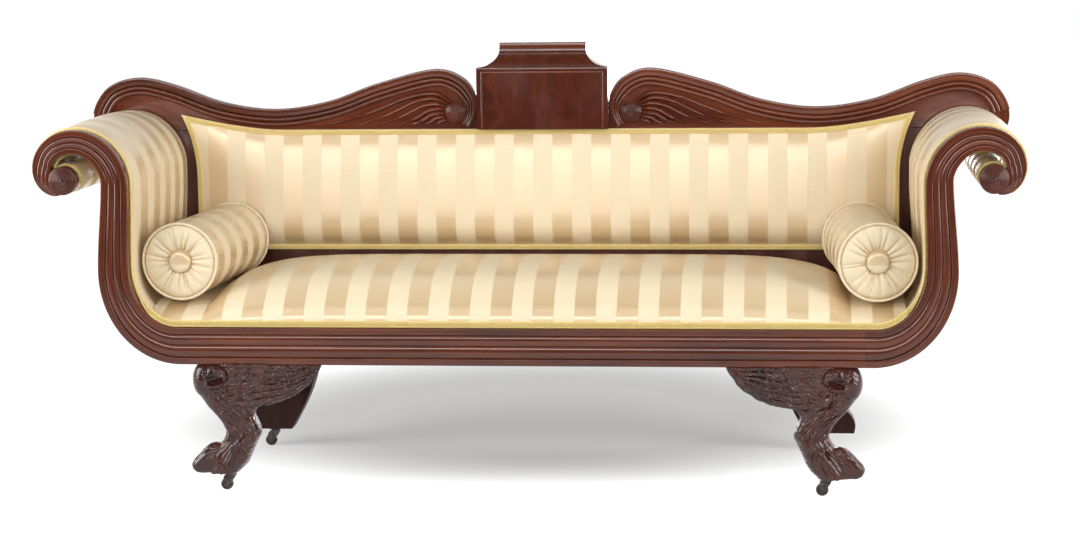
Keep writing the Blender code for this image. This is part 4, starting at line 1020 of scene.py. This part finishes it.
def gimp(name, line, out, width, *replaces):
    """A flat braid along a line: a ribbon with three strands that cross over its face, out being its
    normals. The normals and the width may differ along the line."""
    run = run_lengths(line)
    count = max(8, int(run[-1] / BRAID_PITCH * 7))
    places = np.linspace(0, run[-1], count)

    def spread(values):
        return np.stack([np.interp(places, run, column) for column in np.asarray(values).T], axis=1)

    width = spread(np.broadcast_to(width, len(line))[:, None])
    line, out = spread(line), unit(spread(np.broadcast_to(out, line.shape)))
    aside = np.cross(unit(np.gradient(line, axis=0)), out)
    corners = (-0.45, 0.0), (-0.45, BRAID_T), (0.45, BRAID_T), (0.45, 0.0)
    ribbon = [line + aside * width * across + out * lift for across, lift in corners]
    # The ribbon's braid tag is nothing, so it takes the full painted shade of the gaps under the strands
    parts = [grid_mesh(name, np.stack(ribbon, axis=1), tags={"braid": np.zeros((count, 4, 3))})]
    for strand in range(3):
        turn = 2 * pi * (places / BRAID_PITCH + strand / 3)[:, None]
        lift = STRAND_LIFT + STRAND_DIP * np.cos(2 * turn)
        centre = line + aside * np.sin(turn) * width * STRAND_SWING + out * lift
        rings, shade = [], []
        for a in circle(6) + pi / 2:
            rise = BRAID_STRAND_R * sin(a)
            rings.append(centre + aside * cos(a) * BRAID_STRAND_R * STRAND_FLAT + out * rise)
            # Painted shade: how high each point of a strand stands, kept as the braid tag so the thread's
            # colour darkens the lower parts
            low = STRAND_LIFT - STRAND_DIP
            height = np.clip((lift - low + rise) / (2 * STRAND_DIP + BRAID_STRAND_R), 0, 1)
            shade.append(np.repeat(height, 3, axis=1))
        parts.append(grid_mesh(name, np.stack(rings, axis=1), tags={"braid": np.stack(shade, axis=1)}))
    show(name, merged(name, parts), GIMP, *replaces)


def all_gimp():
    """The braid along the seat, round the back, up each arm, inside each hook and round each eye."""
    front = FACE_Y + SEAT_SETBACK - BRAID_LIE
    line = xyz(np.linspace(-SEAM_X, SEAM_X, 60), front, RAIL_TOP + SEAT_GIMP_W * 0.5)
    gimp("seat_braid", line, (0.0, -1.0, 0.12), SEAT_GIMP_W, "seat_gimp")
    up = GIMP_W * 0.5 / (CREST_Z - BACK_PAD_Z)
    end = 1 - GIMP_W * 0.5 / BACK_PAD_X
    corners = (-end, up), (end, up), (end, 1 - up), (-end, 1 - up), (-end, up)
    loop = [corners[0]]
    for first, last, count in zip(corners, corners[1:], (120, 50, 160, 50)):
        loop += list(np.linspace(first, last, count)[1:])
    x, z = np.array([back_point(*place) for place in loop]).T
    line = xyz(x, CREST_Y - 2 * CLEAR - BACK_EDGE_T, z)
    gimp("back_braid", line, (0.0, -1.0, 0.0), GIMP_W, "back_gimp")
    angles = np.radians(np.linspace(185, 50, 40))
    for side, sign in SIDES:
        near, far = SITTER[: PAD_LAST + 1], OUTSIDE[: PAD_LAST + 1]
        towards = unit(near - far)
        over = step(np.arange(len(near)), *GIMP_TURN)
        at = near + towards * (SEAT_GIMP_W * 0.5 * (1 - over) + 0.002 * over)[:, None]
        line = xyz(sign * at[:, 0], front + (ARM_FRONT + ARM_GIMP_W * 0.5 - front) * over, at[:, 1])
        lean = 0.12 + 0.88 * over
        out = xyz(sign * towards[:, 0] * lean, -1 + 0.75 * over, towards[:, 1] * lean)
        width = SEAT_GIMP_W + (ARM_GIMP_W - SEAT_GIMP_W) * over
        gimp(f"{side}_arm_braid", line, out, width, f"{side}_arm_gimp")
        x, z = unit(OUTSIDE[HOOK_STATIONS] - SITTER[HOOK_STATIONS]).T
        far = OUTSIDE[HOOK_STATIONS].T
        line = xyz(sign * (far[0] + 0.002 * x), HOOK_GIMP_Y, far[1] + 0.002 * z)
        gimp(f"{side}_hook_braid", line, xyz(sign * x, -0.25, z), HOOK_GIMP_W)
        x, z, reach = np.cos(angles), np.sin(angles), EYE_R + 0.001
        line = xyz(sign * (EYE_X + reach * x), HOOK_GIMP_Y, EYE_Z + reach * z)
        gimp(f"{side}_eye_braid", line, xyz(sign * x, -0.25, z), HOOK_GIMP_W)


# Bolsters

BOLSTER_L = 0.440
BOLSTER_R = 0.088
BOLSTER_YAW = radians(4)
BUTTON_R = 0.0262
SKIN_IN = 0.0135
SKIN_R = BOLSTER_R - 0.0015
SKIN_FALL = 0.0022
PUCKER = 0.0007
PIPING_R = 0.0031
PIPING_IN = 0.0098
PIPING_MID_R = BOLSTER_R - 0.0022
END_CREASES = 22
# Depth and half width of a crease and of the hollow round it, which widens outwards
CREASE_D = 0.0034
CREASE_W = 0.0013
HOLLOW_D = 0.0030
HOLLOW_W = 0.0022
HOLLOW_SPREAD = 0.0060
END_ANGLES = circle(540)
# (distance in from the end, radius) from the middle of the button over its edge and the gathers to the piping
END_LINE = (
    (0.0018, 0.0006), (0.0020, 0.008), (0.0023, 0.015), (0.0036, 0.0205), (0.0068, 0.0243),
    (0.0120, 0.0257), (0.0165, BUTTON_R), (0.0140, 0.0272), (0.0100, 0.0295), (0.0064, 0.0350),
    (0.0032, 0.0450), (0.0020, 0.0580), (0.0030, 0.0680), (0.0052, 0.0755), (0.0100, 0.0808),
    (0.0134, 0.0826),
)


def round_ring(radius, y):
    return xyz(radius * np.cos(END_ANGLES), y, radius * np.sin(END_ANGLES))


def bolster_end(end, seed):
    """Rings over an end gathered in pleats to a covered button, from the button's middle to the piping."""
    dice = np.random.default_rng(seed)
    spread = 2 * pi / END_CREASES
    creases = spread * (np.arange(END_CREASES) + dice.uniform(-0.36, 0.36, END_CREASES))
    reach = dice.uniform(0.60, 1.25, END_CREASES)
    depth = dice.uniform(0.6, 1.15, END_CREASES)
    rings = []
    for inset, radius in smooth_line(END_LINE, 64):
        out = max(0.0, (radius - BUTTON_R) / (BOLSTER_R - BUTTON_R))
        dent = np.zeros(len(END_ANGLES))
        for at, far, deep in zip(creases, reach, depth):
            away = np.abs((END_ANGLES - at + pi) % (2 * pi) - pi) * radius
            fade = deep * min(1.0, out / 0.03) * max(0.0, 1 - 0.75 * (out / far) ** 1.5)
            hollow = np.exp(-((away / (HOLLOW_W + HOLLOW_SPREAD * out)) ** 2))
            cut = CREASE_D * np.exp(-away / CREASE_W) + HOLLOW_D * hollow
            dent = np.maximum(dent, fade * cut)
        rings.append(round_ring(radius, end * (BOLSTER_L / 2 - inset - dent)))
    return rings


def bolster(side, sign):
    """A round bolster: ring-striped body, piped edges and gathered ends."""
    low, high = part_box(f"{side}_bolster")
    place = Matrix.Translation((low + high) / 2) @ Matrix.Rotation(sign * BOLSTER_YAW, 4, "Z")
    body = f"{side}_bolster_cushion"
    skin = []
    for t in np.linspace(0, 1, 41):
        edge = abs(2 * t - 1)
        pucker = PUCKER * max(0, edge - 0.80) / 0.2 * np.sin(37 * END_ANGLES + 3 * np.sin(5 * END_ANGLES))
        radius = SKIN_R - SKIN_FALL * edge**10 + pucker
        skin.append(round_ring(radius, (t - 0.5) * (BOLSTER_L - 2 * SKIN_IN)))
    front, rear = bolster_end(-1, 5 + sign), bolster_end(1, 15 + sign)[::-1]
    rings = front + skin + rear
    weave = []
    for i, ring in enumerate(rings):
        across = ring[:, 1] + 0.03 if 0 <= i - len(front) < len(skin) else 0.04 * STRIPE
        if np.hypot(ring[0, 0], ring[0, 2]) < 0.97 * BUTTON_R:
            across = (1 - SATIN_SHARE) / 2 * STRIPE + ring[:, 2] + 0.006
        weave.append(xyz(across, END_ANGLES * BOLSTER_R, 0.0))
    name = f"{side}_stuffed_bolster"
    mesh = grid_mesh(name, rings, tags={"weave": weave})
    mesh.transform(place)
    show(name, mesh, SATIN, f"{side}_bolster", body=body, fill=0.95)
    round_cord = circle(10)
    reach = PIPING_MID_R + PIPING_R * np.cos(round_cord)
    for end, word in ((-1, "front"), (1, "back")):
        y = end * (BOLSTER_L / 2 - PIPING_IN) + PIPING_R * np.sin(round_cord)
        cord = [xyz(reach * cos(a), y, reach * sin(a)) for a in circle(96)]
        name = f"{side}_bolster_piping_{word}"
        mesh = grid_mesh(name, cord, "joined", {"weave": np.full((96, 10, 3), 0.05 * STRIPE)})
        mesh.transform(place)
        show(name, mesh, SATIN, body=body)


# Carved legs

LEG_LOW, LEG_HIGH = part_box("right_front_leg")
LEG_FRONT_Y = LEG_LOW.y
LEG_TOP = LEG_HIGH.z
CARVE_VOXEL = 0.0012
# (height, inner x, outer x, front set back, thickness) down a front leg
LEG_SLICES = np.array((
    (0.2965, 0.606, 0.735, 0.004, 0.080), (0.2800, 0.606, 0.745, 0.003, 0.084),
    (0.2640, 0.606, 0.749, 0.003, 0.086), (0.2325, 0.606, 0.743, 0.004, 0.084),
    (0.2045, 0.603, 0.7235, 0.006, 0.078), (0.1800, 0.6146, 0.700, 0.008, 0.072),
    (0.1600, 0.607, 0.685, 0.009, 0.068), (0.1400, 0.600, 0.677, 0.009, 0.066),
    (0.1205, 0.607, 0.686, 0.008, 0.068), (0.1030, 0.616, 0.706, 0.006, 0.074),
    (0.0870, 0.623, 0.720, 0.004, 0.080), (0.0680, 0.632, 0.724, 0.003, 0.084),
    (0.0520, 0.647, 0.722, 0.003, 0.084), (0.0465, 0.652, 0.716, 0.004, 0.080),
))
LEG_SQUARENESS = 0.68
# (x, z) along the lower edge of the wing, from its tip to the breast
WING_EDGE = np.array((
    (0.4530, 0.2955), (0.4810, 0.2535), (0.5215, 0.2260), (0.5600, 0.2110), (0.5985, 0.2040),
    (0.6200, 0.2005), (0.6550, 0.2025), (0.6750, 0.2130), (0.6860, 0.2320), (0.6900, 0.2500),
))
WING_FROM = 0.4545
WING_TO = 0.655
WING_T = 0.028
WING_FRONT = LEG_FRONT_Y + 0.007
WING_CORNER = 0.009
# (x, middle height, half height, half width) along a toe, from its root to its tip
TOE_LINE = (
    (0.6680, 0.0900, 0.0120, 0.0075), (0.6900, 0.0940, 0.0205, 0.0116), (0.7110, 0.0925, 0.0245, 0.0124),
    (0.7285, 0.0805, 0.0232, 0.0127), (0.7430, 0.0705, 0.0188, 0.0121), (0.7530, 0.0660, 0.0125, 0.0098),
    (0.7575, 0.0640, 0.0060, 0.0050),
)
TOES = 4
TOE_PITCH = 0.0205
TOE_FIRST_Y = LEG_FRONT_Y + 0.0135
SOLE_Z = 0.0475
# The rise of a toe's underside over x at its tip
TIP_RISE = ((0.7400, 0.7470, 0.7520, 0.7555, 0.7575), (0.0, 0.0018, 0.0045, 0.0085, 0.0130))
# The head's middle and radii, and (x, z) and radius along the beak and the jaw, with the beak's outline
HEAD_AT = (0.7190, LEG_FRONT_Y + 0.030, 0.2600)
HEAD_RADII = (0.0320, 0.0325, 0.0440)
BEAK = (0.7180, 0.2780), (0.6985, 0.2830), (0.6815, 0.2800), (0.6725, 0.2710), (0.6745, 0.2590)
BEAK_SIDE = (0.6880, 0.2950), (0.6750, 0.2900), (0.6685, 0.2790), (0.6690, 0.2660), (0.6750, 0.2560)
BEAK_RADII = (0.0150, 0.0142, 0.0115, 0.0075, 0.0016)
JAW = (0.7150, 0.2530), (0.7020, 0.2475), (0.6890, 0.2480), (0.6830, 0.2500)
JAW_RADII = (0.0070, 0.0060, 0.0040, 0.0016)
# (radius, height) of the eye's ring and pupil
BIRD_EYE = (
    (0.0005, 0.0022), (0.0022, 0.0020), (0.0036, 0.0004), (0.0042, 0.0001), (0.0050, 0.0016),
    (0.0066, 0.0014), (0.0078, -0.004), (0.0005, -0.006),
)
BIRD_EYE_AT = (0.7175, LEG_FRONT_Y - 0.0058, 0.2835)
QUILL_ROWS = 6.0
QUILL_H = 0.015
QUILL_D = 0.0040
# (x, z) and reach of the face, the ruff, the paw's knuckle and the root of its hair
FACE_AT, FACE_R = (0.712, 0.274), 0.040
RUFF_AT, RUFF_R, RUFF_FROM = (0.679, 0.234), 0.024, (0.694, 0.266)
KNUCKLE_AT, KNUCKLE_R = (0.700, 0.118), 0.020
PAW_HAIR_FROM, PAW_HAIR_TOP = (0.648, 0.135), 0.122
HAIR_TOP = 0.262
BREAST_X = (0.680, 0.692)
TOES_X = (0.705, 0.730)
CREST_DOWN = radians(-35)
# (x, z) where the feathers that spring from the breast end over the long quills, from the top down
LAYER_EDGE = np.array((
    (0.578, 0.300), (0.580, 0.282), (0.590, 0.254), (0.607, 0.236), (0.640, 0.221), (0.700, 0.200),
))
# (height, half width, (x, z) points) of the cuts and ridges of the head: jaw, mouth, lip, the groove over
# it, the fold before the eye and the groove before that, the nostril and the beak's outline
FACE_CUTS = (
    (0.0022, 0.0026, ((0.6810, 0.2545), (0.6920, 0.2490), (0.7050, 0.2480))),
    (-0.0066, 0.0027, ((0.6790, 0.2645), (0.6880, 0.2590), (0.6990, 0.2555), (0.7070, 0.2550))),
    (0.0026, 0.0020, ((0.6735, 0.2735), (0.6860, 0.2690), (0.7000, 0.2635), (0.7140, 0.2580))),
    (-0.0030, 0.0017, ((0.6780, 0.2785), (0.6900, 0.2750), (0.7040, 0.2690), (0.7120, 0.2650))),
    (0.0026, 0.0021, ((0.7025, 0.2920), (0.7045, 0.2790), (0.7165, 0.2680))),
    (-0.0032, 0.0018, ((0.6975, 0.2925), (0.6990, 0.2810), (0.7070, 0.2720))),
    (-0.0030, 0.0016, ((0.6850, 0.2835), (0.6880, 0.2850))),
    (-0.0048, 0.0022, BEAK_SIDE),
)


def leg_rings():
    """Level slices through a leg: squarish ovals that fill the given sides."""
    waves = np.array((np.cos(circle(64)), np.sin(circle(64))))
    c, s = np.sign(waves) * np.abs(waves) ** LEG_SQUARENESS
    for z, inner, outer, setback, thick in smooth_line(LEG_SLICES, 60):
        x = (inner + outer) / 2 + c * (outer - inner) / 2
        yield xyz(x, LEG_FRONT_Y + setback + thick / 2 + s * thick / 2, z)


def wing_rings():
    """Upright slices through the wing, thicker towards the leg and rounded below."""
    beside, above = quarter_round(6)
    for x in np.linspace(WING_FROM, WING_TO, 40):
        low = np.interp(x, *WING_EDGE.T)
        rear = WING_FRONT + WING_T * (1 + (x - WING_FROM) / (WING_TO - WING_FROM))
        corner = min(WING_CORNER, (LEG_TOP - low) * 0.4)
        y = [WING_FRONT, *WING_FRONT + corner * beside, rear - corner * 0.5, rear, rear]
        yield xyz(x, y, [LEG_TOP, *low + corner * above, low, low + corner * 0.5, LEG_TOP])


def toe_rings(toe):
    """Upright slices along a toe, which spreads from the others and is flat under its sole."""
    c, s = np.cos(circle(24)), np.sin(circle(24))
    middle_toe = (TOES - 1) / 2
    for x, middle, high, wide in smooth_line(TOE_LINE, 30):
        spread = np.interp(x, (0.668, 0.716), (0.52, 1.0))
        y = TOE_FIRST_Y + TOE_PITCH * (middle_toe + (toe - middle_toe) * spread)
        under = middle - SOLE_Z - np.interp(x, *TIP_RISE)
        z = middle + np.where(s > 0, high - 0.003 * toe, under) * s
        yield xyz(x - abs(toe - 1.2) * 0.003, y + wide * c, z)


def horn_rings(line, radii, front, flat):
    """Slices along a tapered, curved limb that follows (x, z) points."""
    line = smooth_line(line, 20)
    radii = np.interp(np.linspace(0, 1, 20), np.linspace(0, 1, len(radii)), radii)
    for point, normal, radius in zip(line, side_normals(line), radii):
        at = point + normal * (radius * np.sin(circle(20)))[:, None]
        yield xyz(at[:, 0], front + flat * radius * np.cos(circle(20)), at[:, 1])


def head(name):
    shape = bmesh.new()
    bmesh.ops.create_uvsphere(shape, u_segments=32, v_segments=18, radius=1.0)
    bmesh.ops.scale(shape, vec=HEAD_RADII, verts=shape.verts)
    bmesh.ops.translate(shape, vec=HEAD_AT, verts=shape.verts)
    return finished(shape, name)


def leg_block(name):
    """The leg, wing, head and paw of the right side, before their surfaces are cut."""
    forms = [leg_rings(), wing_rings(), *(toe_rings(toe) for toe in range(TOES))]
    beak = horn_rings(BEAK, BEAK_RADII, LEG_FRONT_Y + 0.002, 1.15)
    jaw = horn_rings(JAW, JAW_RADII, LEG_FRONT_Y + 0.003, 1.4)
    solids = [grid_mesh(name, list(form)) for form in forms]
    solids += [head(name), *(grid_mesh(name, list(form)) for form in (beak, jaw))]
    return remeshed(name, merged(name, solids), CARVE_VOXEL)


def noise_at(across, up, seed):
    return np.array([noise.noise((a, b, seed)) for a, b in zip(across, up)])


def strokes(along, across, length, width, seed):
    """Ridged noise drawn out along one direction, from -1 to 1: the cut of hair or feather barbs."""
    return 1 - 2.6 * np.abs(noise_at(along / length, across / width, seed))


def ridge(flat, line, width):
    """One along a line of (x, z) points, falling off to nothing at about twice the width."""
    away = np.sqrt(((flat[:, None] - smooth_line(line, 40)) ** 2).sum(axis=2)).min(axis=1)
    return np.exp(-((away / width) ** 2))


def plumage(x, z, drop, seed):
    """The relief of a wing: rows of long quills with fine barbs, under a layer that starts at the breast."""
    waver = noise_at(x / 0.05, z / 0.03, seed)
    layer = step(x - np.interp(-z, -LAYER_EDGE[:, 1], LAYER_EDGE[:, 0]), -0.0012, 0.0012)
    rows = drop * QUILL_ROWS + 0.5 * waver + 0.5 * layer
    share = rows - np.floor(rows)
    round_row = np.sqrt(np.clip(1 - (2 * share - 1) ** 2, 0, 1))
    lean = np.where(share < 0.5, -0.26, 0.22) * (1 - layer) - 0.42 * layer
    across = rows * QUILL_H + x * lean
    barbs = 0.0015 * strokes(x, across, 0.026, 0.0046, seed + 2)
    barbs += 0.0008 * strokes(x, across, 0.016, 0.0028, seed + 4)
    row_depth = QUILL_D * (1 + 0.6 * waver) * (1 - 0.35 * layer)
    return row_depth * (round_row - 0.7) + barbs + 0.0024 * layer


def combed(x, y, z, seed):
    """Hair that slants across the thigh, runs down the shin and fans out over the paw."""
    inner, outer = (np.interp(z, LEG_SLICES[::-1, 0], LEG_SLICES[::-1, k]) for k in (1, 2))
    place = (2 * x - inner - outer) / (outer - inner)
    slant = np.interp(z, (0.05, 0.10, 0.13, 0.16, 0.20, 0.26), (0.0, 0.0, -0.004, -0.018, -0.044, -0.088))
    across = 0.040 * place + slant + 0.5 * y
    down = 0.0024 * strokes(z, across, 0.030, 0.0064, seed)
    down += 0.0011 * strokes(z, across, 0.018, 0.0032, seed + 1)
    aside, up = x - PAW_HAIR_FROM[0], z - PAW_HAIR_FROM[1]
    reach, turn = np.hypot(aside, up), np.arctan2(up, aside)
    spread = turn * 0.055 + 0.5 * y
    out = 0.0022 * strokes(reach, spread, 0.040, 0.0070, seed + 2)
    out += 0.0009 * strokes(reach, spread, 0.02, 0.0034, seed + 3)
    fan = step(PAW_HAIR_TOP - z, 0.0, 0.018)
    return down * (1 - fan) + out * fan


def carve(mesh, seed):
    """Cuts feathers, hair, the face and the paw's creases into a leg's skin."""
    points, normals = read(mesh.vertices, "co"), read(mesh.vertex_normals, "vector")
    x, y, z = points.T.copy()
    flat = np.stack([x, z], axis=1)
    front = step(-normals[:, 1], 0.1, 0.7)
    edge = np.interp(x, *WING_EDGE.T)
    on_head = step(FACE_R - np.hypot(x - FACE_AT[0], (z - FACE_AT[1]) * 1.25), -0.004, 0.004)
    on_wing = step(z - edge, -0.0010, 0.0015) * (1 - step(x, *BREAST_X)) * (1 - on_head)
    drop = np.clip((LEG_TOP - z) / np.maximum(LEG_TOP - edge, 0.004), 0, 1)
    depth = on_wing * front * (QUILL_D + plumage(x, z, drop, seed))
    hairy = (1 - on_wing) * (1 - on_head) * step(HAIR_TOP - z, 0.0, 0.03)
    bare = step(x - (0.692 + 0.30 * np.maximum(0, z - 0.20)), 0.0, 0.02) * step(z, 0.190, 0.215)
    on_toes = step(x, *TOES_X) * step(0.105 - z, 0.0, 0.01)
    knuckle = np.exp(-((np.hypot(x - KNUCKLE_AT[0], z - KNUCKLE_AT[1]) / KNUCKLE_R) ** 2))
    smooth = (1 - 0.90 * bare) * (1 - 0.55 * on_toes) * (1 - 0.75 * knuckle) * (0.35 + 0.65 * front)
    depth += hairy * smooth * combed(x, y, z, seed + 7.3)
    ruff = np.exp(-((np.hypot(x - RUFF_AT[0], z - RUFF_AT[1]) / RUFF_R) ** 2)) * front * (1 - on_head)
    depth += ruff * 0.0019 * np.sin(np.arctan2(z - RUFF_FROM[1], x - RUFF_FROM[0]) * 24)
    for height, width, line in FACE_CUTS:
        depth += front * height * ridge(flat, line, width)
    c, s = cos(CREST_DOWN), sin(CREST_DOWN)
    down = strokes(x * c + z * s, z * c - x * s, 0.02, 0.0050, seed + 5.0)
    depth += on_head * front * step(x, 0.724, 0.734) * 0.0006 * down
    depth *= step(LEG_TOP - z, -0.001, 0.001)
    mesh.vertices.foreach_set("co", (points + normals * depth[:, None]).ravel())
    return mesh


def front_leg(side, sign):
    name = f"{side}_carved_leg"
    solids = [carve(leg_block(name), 11.0 + 4 * sign), lathe(name, BIRD_EYE, 32, BIRD_EYE_AT)]
    mesh = merged(name, solids)
    if sign < 0:
        mesh.transform(Matrix.Scale(-1, 4, (1, 0, 0)))
        mesh.flip_normals()
    show(name, mesh, DARK, f"{side}_front_leg", f"{side}_wing_bracket", sharp=60)


def rear_leg(side):
    """The sawn rear leg with its edges eased."""
    name = f"{side}_eased_rear_leg"
    shape = bmesh.new()
    shape.from_mesh(frame["nodes"][f"{side}_rear_leg"].data)
    bmesh.ops.dissolve_limit(shape, angle_limit=radians(0.5), verts=shape.verts, edges=shape.edges)
    sharp = [edge for edge in shape.edges if edge.is_manifold and edge.calc_face_angle() > radians(50)]
    bmesh.ops.bevel(shape, geom=sharp, offset=0.004, segments=3, profile=0.5, affect="EDGES")
    # Painted shade: the rear leg takes the darker, unpolished mahogany
    show(name, finished(shape, name), UNPOLISHED_SHADED_WOOD, f"{side}_rear_leg")


# Shares of a wheel's radius and half width over one face: hub, sunk web and rounded tread
WHEEL_FACE = [(0.17, 1.0), (0.36, 1.0), (0.42, 0.72), (0.66, 0.72), (0.72, 0.98), (0.80, 1.0), (0.92, 0.84)]
WHEEL_FACE += [(0.985, 0.60), (1.0, 0.30)]


def caster_wheel(corner):
    low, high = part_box(f"{corner}_caster_wheel")
    radius, half = (high.z - low.z) / 2, (high.y - low.y) / 2
    shares = WHEEL_FACE + [(r, -h) for r, h in WHEEL_FACE[::-1]]
    name = f"{corner}_cast_wheel"
    mesh = lathe(name, [(radius * r, half * h) for r, h in shares], 48, (low + high) / 2)
    show(name, mesh, BRASS, f"{corner}_caster_wheel", body=f"{corner}_wheel")


def plain_nodes():
    """Finishes for the pieces that keep their built shape."""
    # Painted shade: the lower back rail takes the dark mahogany's darker tones, for the shade in the gap
    # between the seat and the back
    finishes = {"lower_back_rail": DARK, "seat_webbing": JUTE, "top_back_rail": BEECH}
    finishes |= {f"{corner}_caster_{part}": BRASS for corner in CORNERS for part in ("plate", "fork", "axle")}
    boards = "side_rail", "seat_brace", "arm_board"
    finishes |= {f"{side}_{part}": BEECH for side, _ in SIDES for part in boards}
    for name, material in finishes.items():
        materials = frame["nodes"][name].data.materials
        materials.clear()
        materials.append(material)


# Stage

WHITE = (1.0, 1.0, 1.0, 1.0)
STUDIO_FILL = 0.18
STUDIO_DIM = 0.12
FLOOR_SIZE = 40.0
# The painted shadow on the floor, an ellipse inside which the cast shadow is kept under a low lift: its
# centre, and its reach to the front, to the back and to each side
SHADOW_MID = -0.05
SHADOW_Y = 0.55
SHADOW_BEFORE = 0.615
SHADOW_BEHIND = 0.95
SHADOW_X = 0.84
# (name, place, target, width, height, power) of each light
LIGHTS = [
    ("key_light", (-0.3, -3.5, 1.60), (0.0, 0.0, 0.7), 5.0, 0.5, 78.0),
    ("top_light", (-0.2, -2.3, 3.2), (0.0, 0.0, 0.4), 5.0, 0.14, 14.0),
    ("rear_light", (0.0, 3.6, 0.75), (0.0, 0.2, 0.5), 4.0, 0.6, 42.0),
]
for side, sign in SIDES:
    LIGHTS.append((f"{side}_light", (3.2 * sign, -1.2, 1.4), (0.0, 0.1, 0.6), 2.0, 2.0, 100.0))


def camera():
    turns = (CAMERA_ROLL, "Y"), (CAMERA_PITCH, "X"), (CAMERA_YAW, "Z")
    roll, tilt, turn = (Matrix.Rotation(angle, 3, axis) for angle, axis in turns)
    right, forward, up = roll @ tilt @ turn
    data = bpy.data.cameras.new("camera")
    data.sensor_width = SENSOR_W
    data.lens = FOCAL_PX / IMAGE_W * SENSOR_W
    eye = linked("camera", data)
    eye.matrix_world = Matrix.Translation(CAMERA_AT) @ Matrix((right, up, -forward)).transposed().to_4x4()
    bpy.context.scene.camera = eye


def softbox(name, place, target, width, height, power):
    data = bpy.data.lights.new(name, "AREA")
    data.shape = "RECTANGLE"
    data.size = width
    data.size_y = height
    data.energy = power
    lamp = linked(name, data)
    lamp.visible_camera = False
    lamp.location = place
    lamp.rotation_euler = (Vector(target) - Vector(place)).to_track_quat("-Z", "Y").to_euler()


def seen(shader, place, low, high):
    """One for rays from the camera or through glass, and for reflections of what lies behind the object."""
    path = shader.add("LightPath").outputs
    behind = shader.span(shader.axis(place, "Y"), low, high, 0.0, 1.0)
    direct = shader.math("MAXIMUM", path["Is Camera Ray"], path["Is Transmission Ray"])
    return shader.math("MAXIMUM", direct, shader.math("MULTIPLY", path["Is Glossy Ray"], behind))


def floor():
    """A pale floor with painted shadow: in an ellipse near the object it keeps the cast shadow under a low
    lift, and outside it runs out to white where it is seen.
    """
    bpy.ops.mesh.primitive_plane_add(size=FLOOR_SIZE)
    plane = bpy.context.object
    plane.name = "floor"
    shader = Shader("pale_floor")
    place = shader.place()
    x, y = shader.axis(place, "X"), shader.axis(place, "Y")
    before = shader.math("DIVIDE", shader.math("SUBTRACT", SHADOW_Y, y), SHADOW_BEFORE)
    behind = shader.math("DIVIDE", shader.math("SUBTRACT", y, SHADOW_Y), SHADOW_BEHIND)
    along = shader.math("MAXIMUM", before, behind)
    across = shader.math("DIVIDE", shader.math("SUBTRACT", x, SHADOW_MID), SHADOW_X)
    squares = shader.math("ADD", *(shader.math("MULTIPLY", part, part) for part in (along, across)))
    far = shader.span(shader.math("SQRT", squares), 0.55, 1.20, 0.0, 1.0)
    # Painted shadow: a lighter base colour inside the ellipse and a dark one outside, where the white lift
    # covers it
    shader.set(Base_Color=shader.mix(far, (0.64, 0.64, 0.64, 1.0), (0.22, 0.22, 0.22, 1.0)))
    shader.set(Roughness=0.9, Specular_IOR_Level=0.0, Emission_Color=WHITE)
    # Painted shadow: the white lift stays low inside the ellipse and rises to full white outside it, graded
    # to the shadow's reach
    lift = shader.span(shader.math("MULTIPLY", far, far), 0.0, 1.0, 0.21, 1.0)
    shader.set(Emission_Strength=shader.math("MULTIPLY", seen(shader, place, -3.4, -2.2), lift))
    plane.data.materials.append(shader.owner)
    plane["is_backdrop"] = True


def world():
    """White where it is seen and in reflections of what lies behind, and a dim studio elsewhere."""
    studio = bpy.data.worlds.new("studio")
    bpy.context.scene.world = studio
    shader = Shader(studio, "Background")
    diffuse = shader.add("LightPath").outputs["Is Diffuse Ray"]
    dim = shader.span(diffuse, 0.0, 1.0, STUDIO_DIM, STUDIO_FILL)
    clear = seen(shader, shader.place("Generated"), -0.1, 0.3)
    shader.set(Color=WHITE, Strength=shader.span(clear, 0.0, 1.0, dim, 1.0))


def main():
    camera()
    floor()
    for light in LIGHTS:
        softbox(*light)
    world()
    bpy.context.scene.view_settings.view_transform = "Standard"
    plain_nodes()
    front_rail()
    tablet()
    seat()
    back()
    outside_back()
    # Painted shade: the rear rail takes the darker, unpolished mahogany
    rear_board("shaped_rear_rail", "rear_seat_rail", UNPOLISHED_SHADED_WOOD, "dark_mahogany")
    filling_board()
    all_gimp()
    for side, sign in SIDES:
        arm_facing(side, sign)
        arm_eye(side, sign)
        crest_rail(side, sign)
        arm_upholstery(side, sign)
        bolster(side, sign)
        front_leg(side, sign)
        rear_leg(side)
        # Painted shade: the stiles are mahogany but take the dark tones, for the shade between the arms and
        # the back
        rear_board(f"{side}_shaped_stile", f"{side}_back_stile", DARK, "mahogany")
    for corner in CORNERS:
        caster_wheel(corner)


main()
boxes = {"cad": CAD_BOX, "visual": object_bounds()}
{key: [list(corner) for corner in box] for key, box in boxes.items()}
